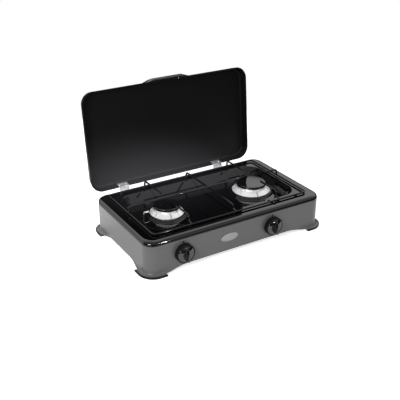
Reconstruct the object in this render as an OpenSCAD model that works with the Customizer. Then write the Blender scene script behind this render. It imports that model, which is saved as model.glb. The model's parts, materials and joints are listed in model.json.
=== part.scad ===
// Two-burner tabletop gas stove with a hinged lid, shown with the lid open and both taps off.
// Millimetres, +Z up, table at z = 0, front at -Y. Heights are above the table.

/* [Body] */
// Width of the hob over its rim
body_w = 520; // [490:1:560]
// Depth of the hob over its rim
body_d = 300; // [290:1:330]
// Height of the hob's rim
rim_z = 94; // [90:1:110]
// Plan radius of the body's corners
corner_r = 30; // [26:1:40]
// Thickness of the hob and casing sheet
sheet = 1; // [0.8:0.1:1.4]
// Height of the hob's turned-down edge
edge_h = 12; // [11:1:16]
// Radius of the hob's rounded edge
edge_r = 9; // [6:1:10]
// How far the casing stands in from the hob's edge
casing_in = 0.3; // [0.2:0.1:0.5]

/* [Legs] */
// Height of the casing's straight lower edge
arch_z = 13.5; // [12:0.5:18]
// Height of the step at the end of a leg
arch_step = 5; // [4.5:0.5:8]
// Half length of the straight lower edge at front and back
arch_half_x = 150; // [120:1:170]
// Half gap between the legs at front and back
leg_half_x = 208; // [195:1:212]
// Half length of the straight lower edge at the sides
arch_half_y = 48; // [30:1:60]
// Half gap between the legs at the sides
leg_half_y = 92; // [80:1:100]
// How far a leg's flared toe stands out
toe_out = 10; // [9.5:0.5:13]
// Radius of the flare
toe_r = 8; // [6:0.5:8.5]
// Thickness of the rubber foot strip
foot_h = 3; // [2:0.5:4]

/* [Well] */
// Width of the well at the rim
well_w = 434; // [410:1:440]
// Depth of the well at the rim, front to back
well_d = 213; // [200:1:216]
// Distance of the well's middle behind the body's middle
well_y = 3; // [0:0.5:6]
// How deep the well goes below the rim
well_deep = 27; // [22:1:30]
// How far the well's walls slope in
well_slope = 12; // [8:1:13]
// Plan radius of the well's corners
well_r = 42; // [36:1:50]

/* [Pan support] */
// Wire diameter
wire_d = 5; // [4:0.5:6]
// Width of the wire frame between wire centres
grate_w = 455; // [448:1:460]
// Depth of the wire frame between wire centres
grate_d = 250; // [244:1:251]
// Corner radius of the wire frame
grate_r = 10; // [8:1:16]
// Height of the rubber feet under the frame
grate_foot_h = 1.5; // [1:0.5:3]
// Height of the prongs' wire centre above the rim
prong_rise = 20.5; // [16:0.5:21]
// Bend radius of the prongs
prong_bend = 9; // [6:1:11]
// How far the front prongs' legs stand in from the frame
front_lead = 17; // [12:1:20]
// Free radius inside the left prongs
prong_gap_left = 33; // [28:1:40]
// Free radius inside the right prongs
prong_gap_right = 45; // [38:1:50]
// Place of the cross wire
cross_x = 7; // [0:1:14]

/* [Burners] */
// Distance of the left burner from the well's left side
burner_left_in = 95; // [88:1:102]
// Distance of the right burner from the well's right side
burner_right_in = 75; // [74:1:80]
// Distance of the burners behind the body's middle
burner_y = 7; // [2:1:12]
// Radius of the left crown's flare
crown_left_r = 44; // [41:1:46]
// Radius of the right crown's flare
crown_right_r = 52; // [49:1:53]
// Radius of the left cap
cap_left_r = 34.5; // [32:0.5:37]
// Radius of the right cap
cap_right_r = 40; // [38:0.5:43]
// Height of a crown
crown_h = 16; // [14:1:18]
// Height of a cap
cap_h = 8; // [6:1:9]
// Height of the pressed boss under a burner
boss_h = 5; // [3:0.5:6]
// How far a boss reaches past its crown
boss_margin = 8; // [6:0.5:8.5]

/* [Taps] */
// Place of the left knob
knob_left_x = -163; // [-170:1:-150]
// Place of the right knob
knob_right_x = 99; // [90:1:110]
// Height of the knobs' axis
knob_z = 46; // [44:1:50]
// Knob diameter
knob_d = 46; // [40:1:48]
// Knob depth from back to grip face
knob_depth = 18; // [16:1:22]
// Gap behind the knob, which the push uses
knob_gap = 3.8; // [3.6:0.1:5]
// Travel of the knob when pushed
push_travel = 3; // [2:0.5:3]
// Spindle diameter
spindle_d = 6; // [5:0.5:7]
// Outside diameter of the gas rail
rail_d = 12; // [10:0.5:13]
// Wall of the gas rail
rail_wall = 1.5; // [1:0.1:2]
// Place of the gas inlet along the back
inlet_x = 204; // [196:1:206]
// Outside diameter of the inlet thread
inlet_d = 13.16; // [12:0.02:14]

/* [Lid] */
// Width of the lid's panel
lid_w = 498; // [488:1:504]
// Depth of the lid's panel
lid_d = 265; // [264:1:270]
// Distance of the closed lid's back edge in from the hob's back edge
lid_back_in = 9; // [8.5:0.1:10]
// Plan radius of the lid's corners
lid_r = 31; // [26:1:36]
// Height of the closed lid's top above the rim
lid_rise = 26; // [25.5:0.5:30]
// Depth of the lid's flange
lid_h = 24; // [20:0.5:24]
// How far the flange flares out
lid_flare = 4; // [2:0.5:5]
// Bend radius of the lid's edge
lid_bend = 6; // [4:0.5:8]
// Sheet thickness of the lid
lid_sheet = 0.9; // [0.8:0.1:1.2]
// Angle at which the open lid stands
lid_open = 95.4; // [88:0.1:100]
// Width of the finger grip
grip_w = 146; // [130:1:156]
// How far the finger grip stands out
grip_out = 6; // [5:0.5:8]

/* [Hinges] */
// Distance between the two hinges
hinge_pitch = 302; // [280:1:330]
// Sideways place of the hinge pair's middle
hinge_mid_x = -7; // [-10:1:10]
// Distance of the hinge axis behind the body
hinge_out = 8; // [7.5:0.1:9]
// Distance of the hinge axis below the rim
hinge_drop = 20; // [18:0.5:21]
// Width of a hinge
hinge_w = 29; // [26:1:34]
// Sheet thickness of the hinges
hinge_sheet = 1.5; // [1.2:0.1:1.8]
// Hinge pin diameter
hinge_pin_d = 4; // [3:0.5:4.5]

/* [Name plate] */
// Place of the bare plate along the front
plate_x = -32; // [-50:1:-10]
// Width of the bare plate
plate_w = 50; // [40:1:60]
// Height of the bare plate
plate_h = 22; // [18:1:26]
// Height of the bare plate's middle
plate_z = 50; // [45:1:55]

/* [Fits] */
// Radial clearance of a turning fit
run_gap = 0.05; // [0.02:0.01:0.1]
// Gap between fixed pieces that slip together
slip_gap = 0.3; // [0.2:0.05:0.5]

/* [Hidden] */
$fn = 64;

// Colours as they look on the object
enamel_black = "#151516";
lid_lacquer = "#18181a";
lacquer_grey = "#4a4a4c";
rubber_black = "#1d1d1d";
wire_black = "#1a1a1b";
polished_alu = "#d9d9da";
cast_alu = "#a9abad";
brass = "#b89a4e";
chrome = "#d4d6d8";
steel = "#9ea1a4";
knob_black = "#202022";

// Body heights and faces
shoulder_z = rim_z - edge_h;
floor_z = rim_z - well_deep;
boss_z = floor_z + boss_h;
casing_face = body_d / 2 - casing_in;
casing_inside = casing_face - sheet;
plate_lap = 2;
edge_in = edge_r + plate_lap + 1;
seat_lip = 4;
arch_steps = 8;
past = 1;
toe_top = foot_h + sheet + toe_r;
foot_lip = 1.3;
foot_inner = 1.5;

// Per burner: place, crown radius, cap radius, prong gap, knob place, number of flame ports
burners = [
    [burner_left_in - well_w / 2, crown_left_r, cap_left_r, prong_gap_left, knob_left_x, 20],
    [well_w / 2 - burner_right_in, crown_right_r, cap_right_r, prong_gap_right, knob_right_x, 24]
];
LEFT = 0;
RIGHT = 1;
throat_in = 10.5;
throat_wall = 3;
flange_t = 4;
flange_w = 9;
cup_z = floor_z - 34;
cup_lip = 2;
crown_seat = 3;
crown_top = boss_z + crown_h;
port_w = 1.6;
port_h = 4.5;
groove_w = 1.2;
groove_count = 7;
crown_lip = 2.5;
screw_d = 3;
screw_head_d = 6;
screw_head_h = 2;
screws_per_burner = 3;

// Tap sizes along the knob's axis
valve_front = casing_inside - 14.7;
valve_len = 34;
valve_d = 19;
valve_y = -(valve_front - valve_len / 2);
spring_len = 7;
spring_wire = 0.9;
spring_turns = 3;
spring_d = spindle_d + 3.4;
washer_t = 1.2;
washer_d = spindle_d + 7.6;
collar_t = 1.8;
collar_d = spindle_d + 4;
touch_gap = 0.05;
spindle_in = 16;
socket_depth = 13;
outlet_len = 22;
outlet_d = 13;
jet_len = 10;
jet_d = 8;
jet_bore = 1.2;
air_gap = 4;
tube_d = 22;
tube_wall = 3;
mouth_len = 10;
mouth_d = 27;
rail_z = knob_z - 24;
rail_end = 22;
rail_bend = 20;
clip_w = 14;
clip_t = 2;
clip_ring = 3;
clip_places = [knob_left_x + 32, knob_right_x + 40];
inlet_thread = 12;
shank_d = inlet_d + 1;
inlet_nut_t = 5;
inlet_nut_af = 22;
inlet_head_t = 6;
inlet_bore = 6;

// Flame sensor
sensor_d = 4;
sensor_bend = 5;
sensor_side = 14;
sensor_z = boss_z + 9;
sensor_clear = 8;
sensor_below = 15;
sensor_nut_d = 10;
sensor_nut_t = 2;

// Pan support heights
grate_z = rim_z + grate_foot_h + wire_d / 2;
prong_z = rim_z + prong_rise;
weld = 0.4;
cross_z = prong_z - wire_d + weld;
grate_foot_d = 8;
grate_foot_in = 34;

// Lid in its closed place, which is turned open about the hinge axis
axis_y = body_d / 2 + hinge_out;
axis_z = rim_z - hinge_drop;
lid_z = rim_z + lid_rise;
lid_back = body_d / 2 - lid_back_in;
lid_front = lid_back - lid_d;
lid_y = (lid_back + lid_front) / 2;
lid_lap = 3;
flange_tilt = atan2(lid_flare, lid_h - lid_bend);
knuckle_r = hinge_pin_d / 2 + 2.2;
knuckle_w = 10;
knuckle_gap = 0.4;
strap_y = axis_y - knuckle_r + 0.6;
jog_z = rim_z + 2;
leaf_top = lid_z - lid_bend - 2;
notch_gap = 1.5;
bracket_w = 44;
bracket_h = 20;
bracket_drop = 1.5;
rivet_d = 3;
rivet_head_d = 5.4;
rivet_head_t = 1.4;
rivet_tail_t = 1;
bracket_rivet_x = 17;
leaf_rivet_x = 9;
grip_slope = 28;
grip_round = 2.5;
grip_screw_in = 5;
grip_heel_z = rim_z + 0.6;
grip_screw_x = 38;

// The origin lies under the middle of the overall box, between the knobs' face and the open lid's top
knob_face = body_d / 2 + knob_gap + knob_depth;
lid_rear = axis_y + (lid_front - axis_y) * cos(lid_open) + (lid_z - axis_z) * sin(lid_open);
origin_y = (lid_rear - knob_face) / 2;

function arc(cx, cy, r, from, to, steps = 8) =
    [for (i = [0:steps]) let (a = from + (to - from) * i / steps) [cx + r * cos(a), cy + r * sin(a)]];
function throat_r(b) = b[2] - throat_in;
function ring_in(b) = b[2] - 7;
function boss_r(b) = b[1] + boss_margin;
function flange_face(z, inside) =
    (inside ? -lid_sheet : 0) + lid_flare * (lid_z - lid_bend - z) / (lid_h - lid_bend);
function outlet_angle(b) = atan2(burner_y - valve_y, b[0] - b[4]);
function outlet_reach(b) = norm([burner_y - valve_y, b[0] - b[4]]);

module in_place() {
    translate([0, -origin_y, 0])
        children();
}

// A drawn profile carried round a rounded rectangle; x is the distance outside it, y is the height
module carry_round(w, d, r) {
    for (c = [[1, 1, 0], [-1, 1, 90], [-1, -1, 180], [1, -1, 270]])
        translate([c[0] * (w / 2 - r), c[1] * (d / 2 - r), 0])
            rotate(c[2])
                rotate_extrude(angle = 90)
                    translate([r, 0])
                        children();
    for (s = [-1, 1]) {
        translate([s * w / 2, 0, 0])
            rotate([90, 0, s > 0 ? 0 : 180])
                linear_extrude(d - 2 * r, center = true)
                    children();
        translate([0, s * d / 2, 0])
            rotate([90, 0, s * 90])
                linear_extrude(w - 2 * r, center = true)
                    children();
    }
}

module rounded_plate(w, d, r) {
    square([w - 2 * r, d], center = true);
    square([w, d - 2 * r], center = true);
    for (x = [-1, 1], y = [-1, 1])
        translate([x * (w / 2 - r), y * (d / 2 - r)])
            circle(r);
}

// A cylinder along +Y that starts at the given place
module along_y(from, length, d) {
    translate(from)
        rotate([-90, 0, 0])
            cylinder(d = d, h = length);
}

module along_x(from, length, d) {
    translate(from)
        rotate([0, 90, 0])
            cylinder(d = d, h = length);
}

// Section of the casing: ledge for the hob, upright wall and flared toe
module casing_section() {
    x0 = -casing_in;
    x1 = -casing_in - sheet;
    xl = -sheet - slip_gap;
    polygon(concat(
        [[x0, shoulder_z]],
        arc(x0 + toe_r, toe_top, toe_r, 180, 270),
        [[toe_out, foot_h + sheet], [toe_out, foot_h]],
        arc(x0 + toe_r, toe_top, toe_r + sheet, 270, 180),
        [[x1, shoulder_z - sheet], [xl - sheet, shoulder_z - sheet],
         [xl - sheet, shoulder_z + seat_lip], [xl, shoulder_z + seat_lip], [xl, shoulder_z]]
    ));
}

// The gap between two legs, seen along the wall
module leg_gap(half, leg) {
    rise = [for (i = [0:arch_steps])
        let (t = i / arch_steps)
        [half + (leg - half) * t, arch_z - (arch_z - arch_step) * (1 - cos(180 * t)) / 2]];
    left = [for (i = [arch_steps:-1:0]) [-rise[i][0], rise[i][1]]];
    polygon(concat([[-leg, -past]], left, rise, [[leg, -past]]));
}

module skirt_casing() {
    color(lacquer_grey)
        in_place()
            difference() {
                carry_round(body_w, body_d, corner_r)
                    casing_section();
                rotate([90, 0, 0])
                    linear_extrude(body_d + 4 * toe_out, center = true)
                        leg_gap(arch_half_x, leg_half_x);
                rotate([90, 0, 90])
                    linear_extrude(body_w + 4 * toe_out, center = true)
                        leg_gap(arch_half_y, leg_half_y);
                for (b = burners)
                    along_y([b[4], -body_d / 2 - past, knob_z], 2 * sheet + 2 * past, collar_d + 4);
                along_y([inlet_x, casing_inside - past, rail_z], sheet + 2 * past, shank_d + 2 * slip_gap);
                bracket_rivet_places()
                    along_y([0, -past - sheet, 0], 2 * sheet + 2 * past, rivet_d + 2 * run_gap);
            }
}

module hob_edge_section() {
    polygon(concat(
        [[0, shoulder_z]],
        arc(-edge_r, rim_z - edge_r, edge_r, 0, 90),
        [[-edge_in, rim_z], [-edge_in, rim_z - sheet]],
        arc(-edge_r, rim_z - edge_r, edge_r - sheet, 90, 0),
        [[-sheet, shoulder_z]]
    ));
}

module well_section() {
    lap = 1.5;
    polygon([
        [lap, rim_z], [0, rim_z], [-well_slope, floor_z], [-well_slope - plate_lap - 1, floor_z],
        [-well_slope - plate_lap - 1, floor_z - sheet], [-well_slope + sheet / 2, floor_z - sheet],
        [lap, rim_z - sheet - lap]
    ]);
}

module boss(b) {
    hole = throat_r(b) + slip_gap;
    rotate_extrude()
        polygon([
            [boss_r(b) + 1, floor_z], [boss_r(b), floor_z], [b[1] + boss_margin / 2, boss_z], [hole, boss_z],
            [hole, boss_z - sheet], [b[1] + boss_margin / 2 - sheet / 2, boss_z - sheet],
            [boss_r(b) - sheet / 2, floor_z - sheet], [boss_r(b) + 1, floor_z - sheet]
        ]);
}

module hob_top() {
    rim_in = edge_r + 1;
    floor_in = well_slope + 1;
    floor_w = well_w - 2 * floor_in;
    floor_d = well_d - 2 * floor_in;
    color(enamel_black)
        in_place()
            difference() {
                union() {
                    carry_round(body_w, body_d, corner_r)
                        hob_edge_section();
                    translate([0, 0, rim_z - sheet])
                        linear_extrude(sheet)
                            difference() {
                                rounded_plate(body_w - 2 * rim_in, body_d - 2 * rim_in, corner_r - rim_in);
                                translate([0, well_y])
                                    rounded_plate(well_w, well_d, well_r);
                            }
                    translate([0, well_y, 0]) {
                        carry_round(well_w, well_d, well_r)
                            well_section();
                        translate([0, 0, floor_z - sheet])
                            linear_extrude(sheet)
                                difference() {
                                    rounded_plate(floor_w, floor_d, well_r - floor_in);
                                    for (b = burners)
                                        translate([b[0], burner_y - well_y])
                                            circle(boss_r(b));
                                }
                    }
                    for (b = burners)
                        translate([b[0], burner_y, 0])
                            boss(b);
                }
                for (b = burners) {
                    translate(sensor_place(b))
                        cylinder(d = sensor_d + 2 * slip_gap, h = rim_z);
                    burner_screw_places(b)
                        cylinder(d = screw_d + 2 * run_gap, h = 4 * sheet, center = true);
                }
            }
}

// The left burner's sensor stands at its left, the right burner's behind it
function sensor_place(b) =
    b[0] < 0
        ? [b[0] - boss_r(b) - sensor_clear, burner_y + sensor_side, floor_z - sensor_below]
        : [b[0], burner_y + boss_r(b) + sensor_clear, floor_z - sensor_below];

module burner_screw_places(b) {
    for (i = [0:screws_per_burner - 1])
        translate([b[0], burner_y, boss_z])
            rotate(360 * i / screws_per_burner + 90)
                translate([throat_r(b) + flange_w / 2 + 1, 0, 0])
                    children();
}

// Rubber strip under the flared toe of one leg
module foot(sx, sy) {
    color(rubber_black)
        in_place()
            mirror([sx < 0 ? 1 : 0, 0, 0])
                mirror([0, sy < 0 ? 1 : 0, 0])
                    foot_corner();
}

module foot_section() {
    lip_in = toe_out + slip_gap;
    polygon([
        [foot_inner, 0], [lip_in + foot_lip, 0], [lip_in + foot_lip, foot_h + sheet],
        [lip_in, foot_h + sheet], [lip_in, foot_h], [foot_inner, foot_h]
    ]);
}

module foot_corner() {
    cx = body_w / 2 - corner_r;
    cy = body_d / 2 - corner_r;
    translate([cx, cy, 0])
        rotate_extrude(angle = 90)
            translate([corner_r, 0])
                foot_section();
    translate([body_w / 2, (leg_half_y + cy) / 2, 0])
        rotate([90, 0, 0])
            linear_extrude(cy - leg_half_y, center = true)
                foot_section();
    translate([(leg_half_x + cx) / 2, body_d / 2, 0])
        rotate([90, 0, 90])
            linear_extrude(cx - leg_half_x, center = true)
                foot_section();
}

module foot_front_left() { foot(-1, -1); }
module foot_front_right() { foot(1, -1); }
module foot_back_left() { foot(-1, 1); }
module foot_back_right() { foot(1, 1); }

module pan_frame() {
    color(wire_black)
        in_place()
            translate([0, well_y, grate_z])
                carry_round(grate_w, grate_d, grate_r)
                    circle(d = wire_d);
}

function bend_end(height, lead) = lead > 0 ? lead + (height - grate_z) / 2 : prong_bend;

// A wire that rises from the frame and bends inwards; local +X points inwards
module bent_rise(height) {
    foot_z = grate_z + wire_d / 2 - weld;
    translate([0, 0, foot_z])
        cylinder(d = wire_d, h = height - prong_bend - foot_z);
    translate([prong_bend, 0, height - prong_bend])
        rotate([90, 0, 0])
            rotate(90)
                rotate_extrude(angle = 90)
                    translate([prong_bend, 0])
                        circle(d = wire_d);
}

// A wire that leaves the frame inwards, rises at the lead and bends inwards again
module set_in_rise(height, lead) {
    start = wire_d / 2 - weld;
    bend = (height - grate_z) / 2;
    along_x([start, 0, grate_z], lead - bend - start, wire_d);
    for (turn = [-90, 90])
        translate([lead + sign(turn) * bend, 0, grate_z + bend])
            rotate([90, 0, 0])
                rotate(turn)
                    rotate_extrude(angle = 90)
                        translate([bend, 0])
                            circle(d = wire_d);
}

module risen_wire(height, run, lead) {
    if (lead > 0)
        set_in_rise(height, lead);
    else
        bent_rise(height);
    along_x([bend_end(height, lead), 0, height], run - bend_end(height, lead), wire_d);
}

module prong(from, turn, run, lead = 0) {
    translate(from)
        rotate(turn) {
            risen_wire(prong_z, run, lead);
            translate([run, 0, prong_z])
                sphere(d = wire_d);
        }
}

module pan_prongs() {
    back = well_y + grate_d / 2;
    front = well_y - grate_d / 2;
    color(wire_black)
        in_place()
            for (b = burners) {
                side = b[0] < 0 ? -1 : 1;
                prong([b[0], back, 0], -90, back - burner_y - b[3]);
                prong([b[0], front, 0], 90, burner_y - front - b[3], front_lead);
                prong([side * grate_w / 2, burner_y, 0], side < 0 ? 0 : 180, grate_w / 2 - abs(b[0]) - b[3]);
            }
}

module pan_long_wire() {
    left = burners[LEFT][0] + burners[LEFT][3];
    right = burners[RIGHT][0] - burners[RIGHT][3];
    color(wire_black)
        in_place() {
            along_x([left, burner_y, prong_z], right - left, wire_d);
            for (x = [left, right])
                translate([x, burner_y, prong_z])
                    sphere(d = wire_d);
        }
}

module pan_cross_wire() {
    color(wire_black)
        in_place()
            translate([cross_x, well_y, 0])
                for (turn = [-90, 90])
                    translate([0, -sign(turn) * grate_d / 2, 0])
                        rotate(turn)
                            risen_wire(cross_z, grate_d / 2, turn > 0 ? front_lead : 0);
}

module pan_feet() {
    color(rubber_black)
        in_place()
            for (x = [-1, 1], y = [-1, 1])
                translate([x * (grate_w / 2 - grate_foot_in), well_y + y * grate_d / 2, rim_z])
                    difference() {
                        cylinder(d = grate_foot_d, h = grate_foot_h + wire_d / 2);
                        along_x([-grate_foot_d, 0, grate_foot_h + wire_d / 2], 2 * grate_foot_d, wire_d);
                    }
}

module burner_base(b) {
    r = throat_r(b);
    start = outlet_len + jet_len + air_gap;
    top = boss_z + cup_lip;
    color(cast_alu)
        in_place()
            difference() {
                union() {
                    translate([b[0], burner_y, cup_z])
                        cylinder(r = r, h = top - cup_z);
                    translate([b[0], burner_y, boss_z - sheet - flange_t])
                        cylinder(r = r + flange_w, h = flange_t);
                    along_outlet(b, start, tube_d, outlet_reach(b) - start);
                    along_outlet(b, start, mouth_d, mouth_len);
                }
                translate([b[0], burner_y, cup_z + throat_wall])
                    cylinder(r = r - throat_wall, h = top);
                along_outlet(b, start - past, tube_d - 2 * tube_wall, outlet_reach(b) - start);
                burner_screw_places(b)
                    cylinder(d = screw_d + 2 * run_gap, h = 4 * flange_t, center = true);
            }
}

// A cylinder on the line from a tap to its burner, starting at a distance from the tap's middle
module along_outlet(b, start, d, length) {
    translate([b[4], valve_y, knob_z])
        rotate(outlet_angle(b))
            along_x([start, 0, 0], length, d);
}

module burner_base_left() { burner_base(burners[LEFT]); }
module burner_base_right() { burner_base(burners[RIGHT]); }

module burner_crown(b) {
    inner = throat_r(b) + slip_gap;
    color(polished_alu)
        in_place()
            translate([b[0], burner_y, 0])
                difference() {
                    rotate_extrude()
                        polygon([
                            [inner, boss_z], [b[1] - 1, boss_z], [b[1], boss_z + 1],
                            [b[1], boss_z + crown_lip],
                            [b[2] + 1.5, crown_top - port_h], [b[2] - 1, crown_top], [ring_in(b), crown_top],
                            [ring_in(b), boss_z + crown_seat], [inner, boss_z + crown_seat]
                        ]);
                    for (i = [0:b[5] - 1])
                        rotate(360 * i / b[5])
                            translate([ring_in(b) - past, -port_w / 2, crown_top - port_h + 1])
                                cube([b[1], port_w, port_h]);
                    for (i = [0:groove_count - 1])
                        rotate(360 * (i + 0.35) / groove_count)
                            translate([b[2] + 1, -groove_w / 2, boss_z + crown_lip])
                                cube([b[1], groove_w, crown_h]);
                }
}

module burner_crown_left() { burner_crown(burners[LEFT]); }
module burner_crown_right() { burner_crown(burners[RIGHT]); }

module burner_cap(b) {
    edge = 2.5;
    spigot = 3;
    color(enamel_black)
        in_place()
            translate([b[0], burner_y, crown_top])
                rotate_extrude()
                    polygon(concat(
                        [[0, -spigot], [ring_in(b) - slip_gap, -spigot], [ring_in(b) - slip_gap, 0]],
                        [[b[2] - 1, 0], [b[2], 1]],
                        arc(b[2] - edge, cap_h - 1 - edge, edge, 0, 80, 6),
                        [[b[2] * 0.5, cap_h - 0.3], [0, cap_h]]
                    ));
}

module burner_cap_left() { burner_cap(burners[LEFT]); }
module burner_cap_right() { burner_cap(burners[RIGHT]); }

module burner_screws() {
    color(steel)
        in_place()
            for (b = burners)
                burner_screw_places(b) {
                    translate([0, 0, -sheet - flange_t - screw_head_h])
                        cylinder(d = screw_head_d, h = screw_head_h);
                    translate([0, 0, -sheet - flange_t])
                        cylinder(d = screw_d, h = sheet + flange_t - touch_gap);
                }
}

module injector(b) {
    hex = 4;
    color(brass)
        in_place()
            difference() {
                union() {
                    along_outlet(b, outlet_len, jet_d, jet_len);
                    translate([b[4], valve_y, knob_z])
                        rotate(outlet_angle(b))
                            translate([outlet_len, 0, 0])
                                rotate([0, 90, 0])
                                    cylinder(d = outlet_d - 1, h = hex, $fn = 6);
                }
                along_outlet(b, outlet_len - past, jet_bore, jet_len + 2 * past);
            }
}

module injector_left() { injector(burners[LEFT]); }
module injector_right() { injector(burners[RIGHT]); }

module flame_sensor(b) {
    reach = boss_r(b) + sensor_clear - b[1];
    color(chrome)
        in_place()
            translate(sensor_place(b))
                rotate(b[0] < 0 ? 0 : -90) {
                    top = sensor_z - (floor_z - sensor_below);
                    cylinder(d = sensor_d, h = top - sensor_bend);
                    translate([sensor_bend, 0, top - sensor_bend])
                        rotate([90, 0, 0])
                            rotate(90)
                                rotate_extrude(angle = 90)
                                    translate([sensor_bend, 0])
                                        circle(d = sensor_d);
                    along_x([sensor_bend, 0, top], reach - sensor_bend - sensor_d / 2, sensor_d);
                    translate([reach - sensor_d / 2, 0, top])
                        sphere(d = sensor_d);
                    translate([0, 0, sensor_below - sheet - sensor_nut_t])
                        cylinder(d = sensor_nut_d, h = sensor_nut_t);
                }
}

module flame_sensor_left() { flame_sensor(burners[LEFT]); }
module flame_sensor_right() { flame_sensor(burners[RIGHT]); }

module valve_body(b) {
    neck_d = 14;
    nose_d = spindle_d + 8;
    nose_len = 6;
    bore_deep = spindle_in + push_travel + 2 * past;
    color(brass)
        in_place()
            difference() {
                union() {
                    along_y([b[4], -valve_front, knob_z], valve_len, nose_d);
                    along_y([b[4], -valve_front + nose_len, knob_z], valve_len - nose_len, valve_d);
                    translate([b[4], valve_y, rail_z])
                        cylinder(d = neck_d, h = knob_z - rail_z);
                    along_outlet(b, 0, outlet_d, outlet_len);
                }
                along_y([b[4], -valve_front - past, knob_z], bore_deep, spindle_d + 2 * run_gap);
                along_x([b[4] - valve_d, valve_y, rail_z], 2 * valve_d, rail_d + 2 * touch_gap);
            }
}

module valve_body_left() { valve_body(burners[LEFT]); }
module valve_body_right() { valve_body(burners[RIGHT]); }

washer_y = -valve_front - spring_len - washer_t;
collar_y = washer_y - touch_gap - collar_t;
knob_back = -body_d / 2 - knob_gap;

module valve_spindle(b) {
    front = knob_back - socket_depth;
    color(brass)
        in_place() {
            along_y([b[4], front, knob_z], spindle_in - valve_front - front, spindle_d);
            along_y([b[4], collar_y, knob_z], collar_t, collar_d);
        }
}

module valve_spindle_left() { valve_spindle(burners[LEFT]); }
module valve_spindle_right() { valve_spindle(burners[RIGHT]); }

module thrust_washer(b) {
    color(steel)
        in_place()
            difference() {
                along_y([b[4], washer_y, knob_z], washer_t, washer_d);
                along_y([b[4], washer_y - past, knob_z], washer_t + 2 * past, spindle_d + 4 * run_gap);
            }
}

module thrust_washer_left() { thrust_washer(burners[LEFT]); }
module thrust_washer_right() { thrust_washer(burners[RIGHT]); }

// Coil swept along a helix about the knob's axis, as one closed tube of triangles
module return_spring(b) {
    sides = 6;
    rings = 12 * spring_turns;
    r = spring_d / 2;
    lift = spring_len - spring_wire - 2 * touch_gap;
    points = [for (i = [0:rings], j = [0:sides - 1])
        let (a = 360 * spring_turns * i / rings, s = 360 * j / sides, d = r + spring_wire / 2 * cos(s))
        [d * cos(a), d * sin(a), spring_wire / 2 + touch_gap + lift * i / rings + spring_wire / 2 * sin(s)]];
    walls = [for (i = [0:rings - 1], j = [0:sides - 1])
        let (k = (j + 1) % sides, p = i * sides, q = p + sides)
        each [[p + j, p + k, q + j], [p + k, q + k, q + j]]];
    first = [for (j = [1:sides - 2]) [0, j + 1, j]];
    last = [for (j = [1:sides - 2]) let (p = rings * sides) [p, p + j, p + j + 1]];
    color(steel)
        in_place()
            translate([b[4], -valve_front, knob_z])
                rotate([90, 0, 0])
                    polyhedron(points, concat(walls, first, last));
}

module return_spring_left() { return_spring(burners[LEFT]); }
module return_spring_right() { return_spring(burners[RIGHT]); }

module knob(b) {
    disc_t = 6;
    grip_t = 11;
    edge = 1.5;
    color(knob_black)
        in_place()
            translate([b[4], knob_back, knob_z])
                rotate([90, 0, 0])
                    difference() {
                        union() {
                            rotate_extrude()
                                polygon([
                                    [0, 0], [knob_d / 2, 0], [knob_d / 2, disc_t - edge],
                                    [knob_d / 2 - edge, disc_t], [0, disc_t]
                                ]);
                            intersection() {
                                translate([-grip_t / 2, -knob_d / 2, 0])
                                    cube([grip_t, knob_d, knob_depth]);
                                rotate_extrude()
                                    polygon([
                                        [0, 0], [knob_d / 2 - edge, 0], [knob_d / 2 - edge, disc_t],
                                        [knob_d / 2 - 3, knob_depth - edge], [knob_d / 2 - 4.5, knob_depth],
                                        [0, knob_depth]
                                    ]);
                            }
                        }
                        translate([0, 0, -past])
                            cylinder(d = spindle_d, h = socket_depth + past);
                    }
}

module knob_left() { knob(burners[LEFT]); }
module knob_right() { knob(burners[RIGHT]); }

// Rail under the taps, bent towards the back and open at its inlet end
module rail_line(d, start, finish) {
    corner_x = inlet_x - rail_bend;
    corner_y = valve_y + rail_bend;
    along_x([start, valve_y, rail_z], corner_x - start, d);
    translate([corner_x, corner_y, rail_z])
        rotate(-90)
            rotate_extrude(angle = 90)
                translate([rail_bend, 0])
                    circle(d = d);
    along_y([inlet_x, corner_y, rail_z], finish - corner_y, d);
}

module gas_rail() {
    start = knob_left_x - rail_end;
    finish = casing_inside - inlet_head_t;
    color(steel)
        in_place()
            difference() {
                rail_line(rail_d, start, finish);
                rail_line(rail_d - 2 * rail_wall, start + rail_wall, finish + past);
            }
}

module rail_clips() {
    ring_d = rail_d + 2 * touch_gap;
    arm_z = rail_z + rail_d / 2 + clip_ring - clip_t;
    color(steel)
        in_place()
            for (x = clip_places)
                translate([x - clip_w / 2, 0, 0])
                    difference() {
                        union() {
                            translate([0, -casing_inside, arm_z])
                                cube([clip_w, valve_y + casing_inside, clip_t]);
                            translate([0, -casing_inside, arm_z])
                                cube([clip_w, clip_t, clip_w]);
                            along_x([0, valve_y, rail_z], clip_w, ring_d + 2 * clip_ring);
                        }
                        along_x([-past, valve_y, rail_z], clip_w + 2 * past, ring_d);
                    }
}

module gas_inlet() {
    shank = sheet + inlet_nut_t;
    head_y = casing_inside - inlet_head_t;
    length = inlet_head_t + shank + inlet_thread;
    color(brass)
        in_place()
            difference() {
                union() {
                    along_y([inlet_x, head_y, rail_z], inlet_head_t, inlet_nut_af);
                    along_y([inlet_x, casing_inside, rail_z], shank, shank_d);
                    along_y([inlet_x, casing_inside, rail_z], shank + inlet_thread, inlet_d);
                }
                along_y([inlet_x, head_y - past, rail_z], length + 2 * past, inlet_bore);
            }
}

module inlet_nut() {
    color(brass)
        in_place()
            difference() {
                translate([inlet_x, casing_face, rail_z])
                    rotate([-90, 0, 0])
                        cylinder(d = inlet_nut_af / cos(30), h = inlet_nut_t, $fn = 6);
                along_y([inlet_x, casing_face - past, rail_z], inlet_nut_t + 2 * past, shank_d + 2 * run_gap);
            }
}

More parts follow.
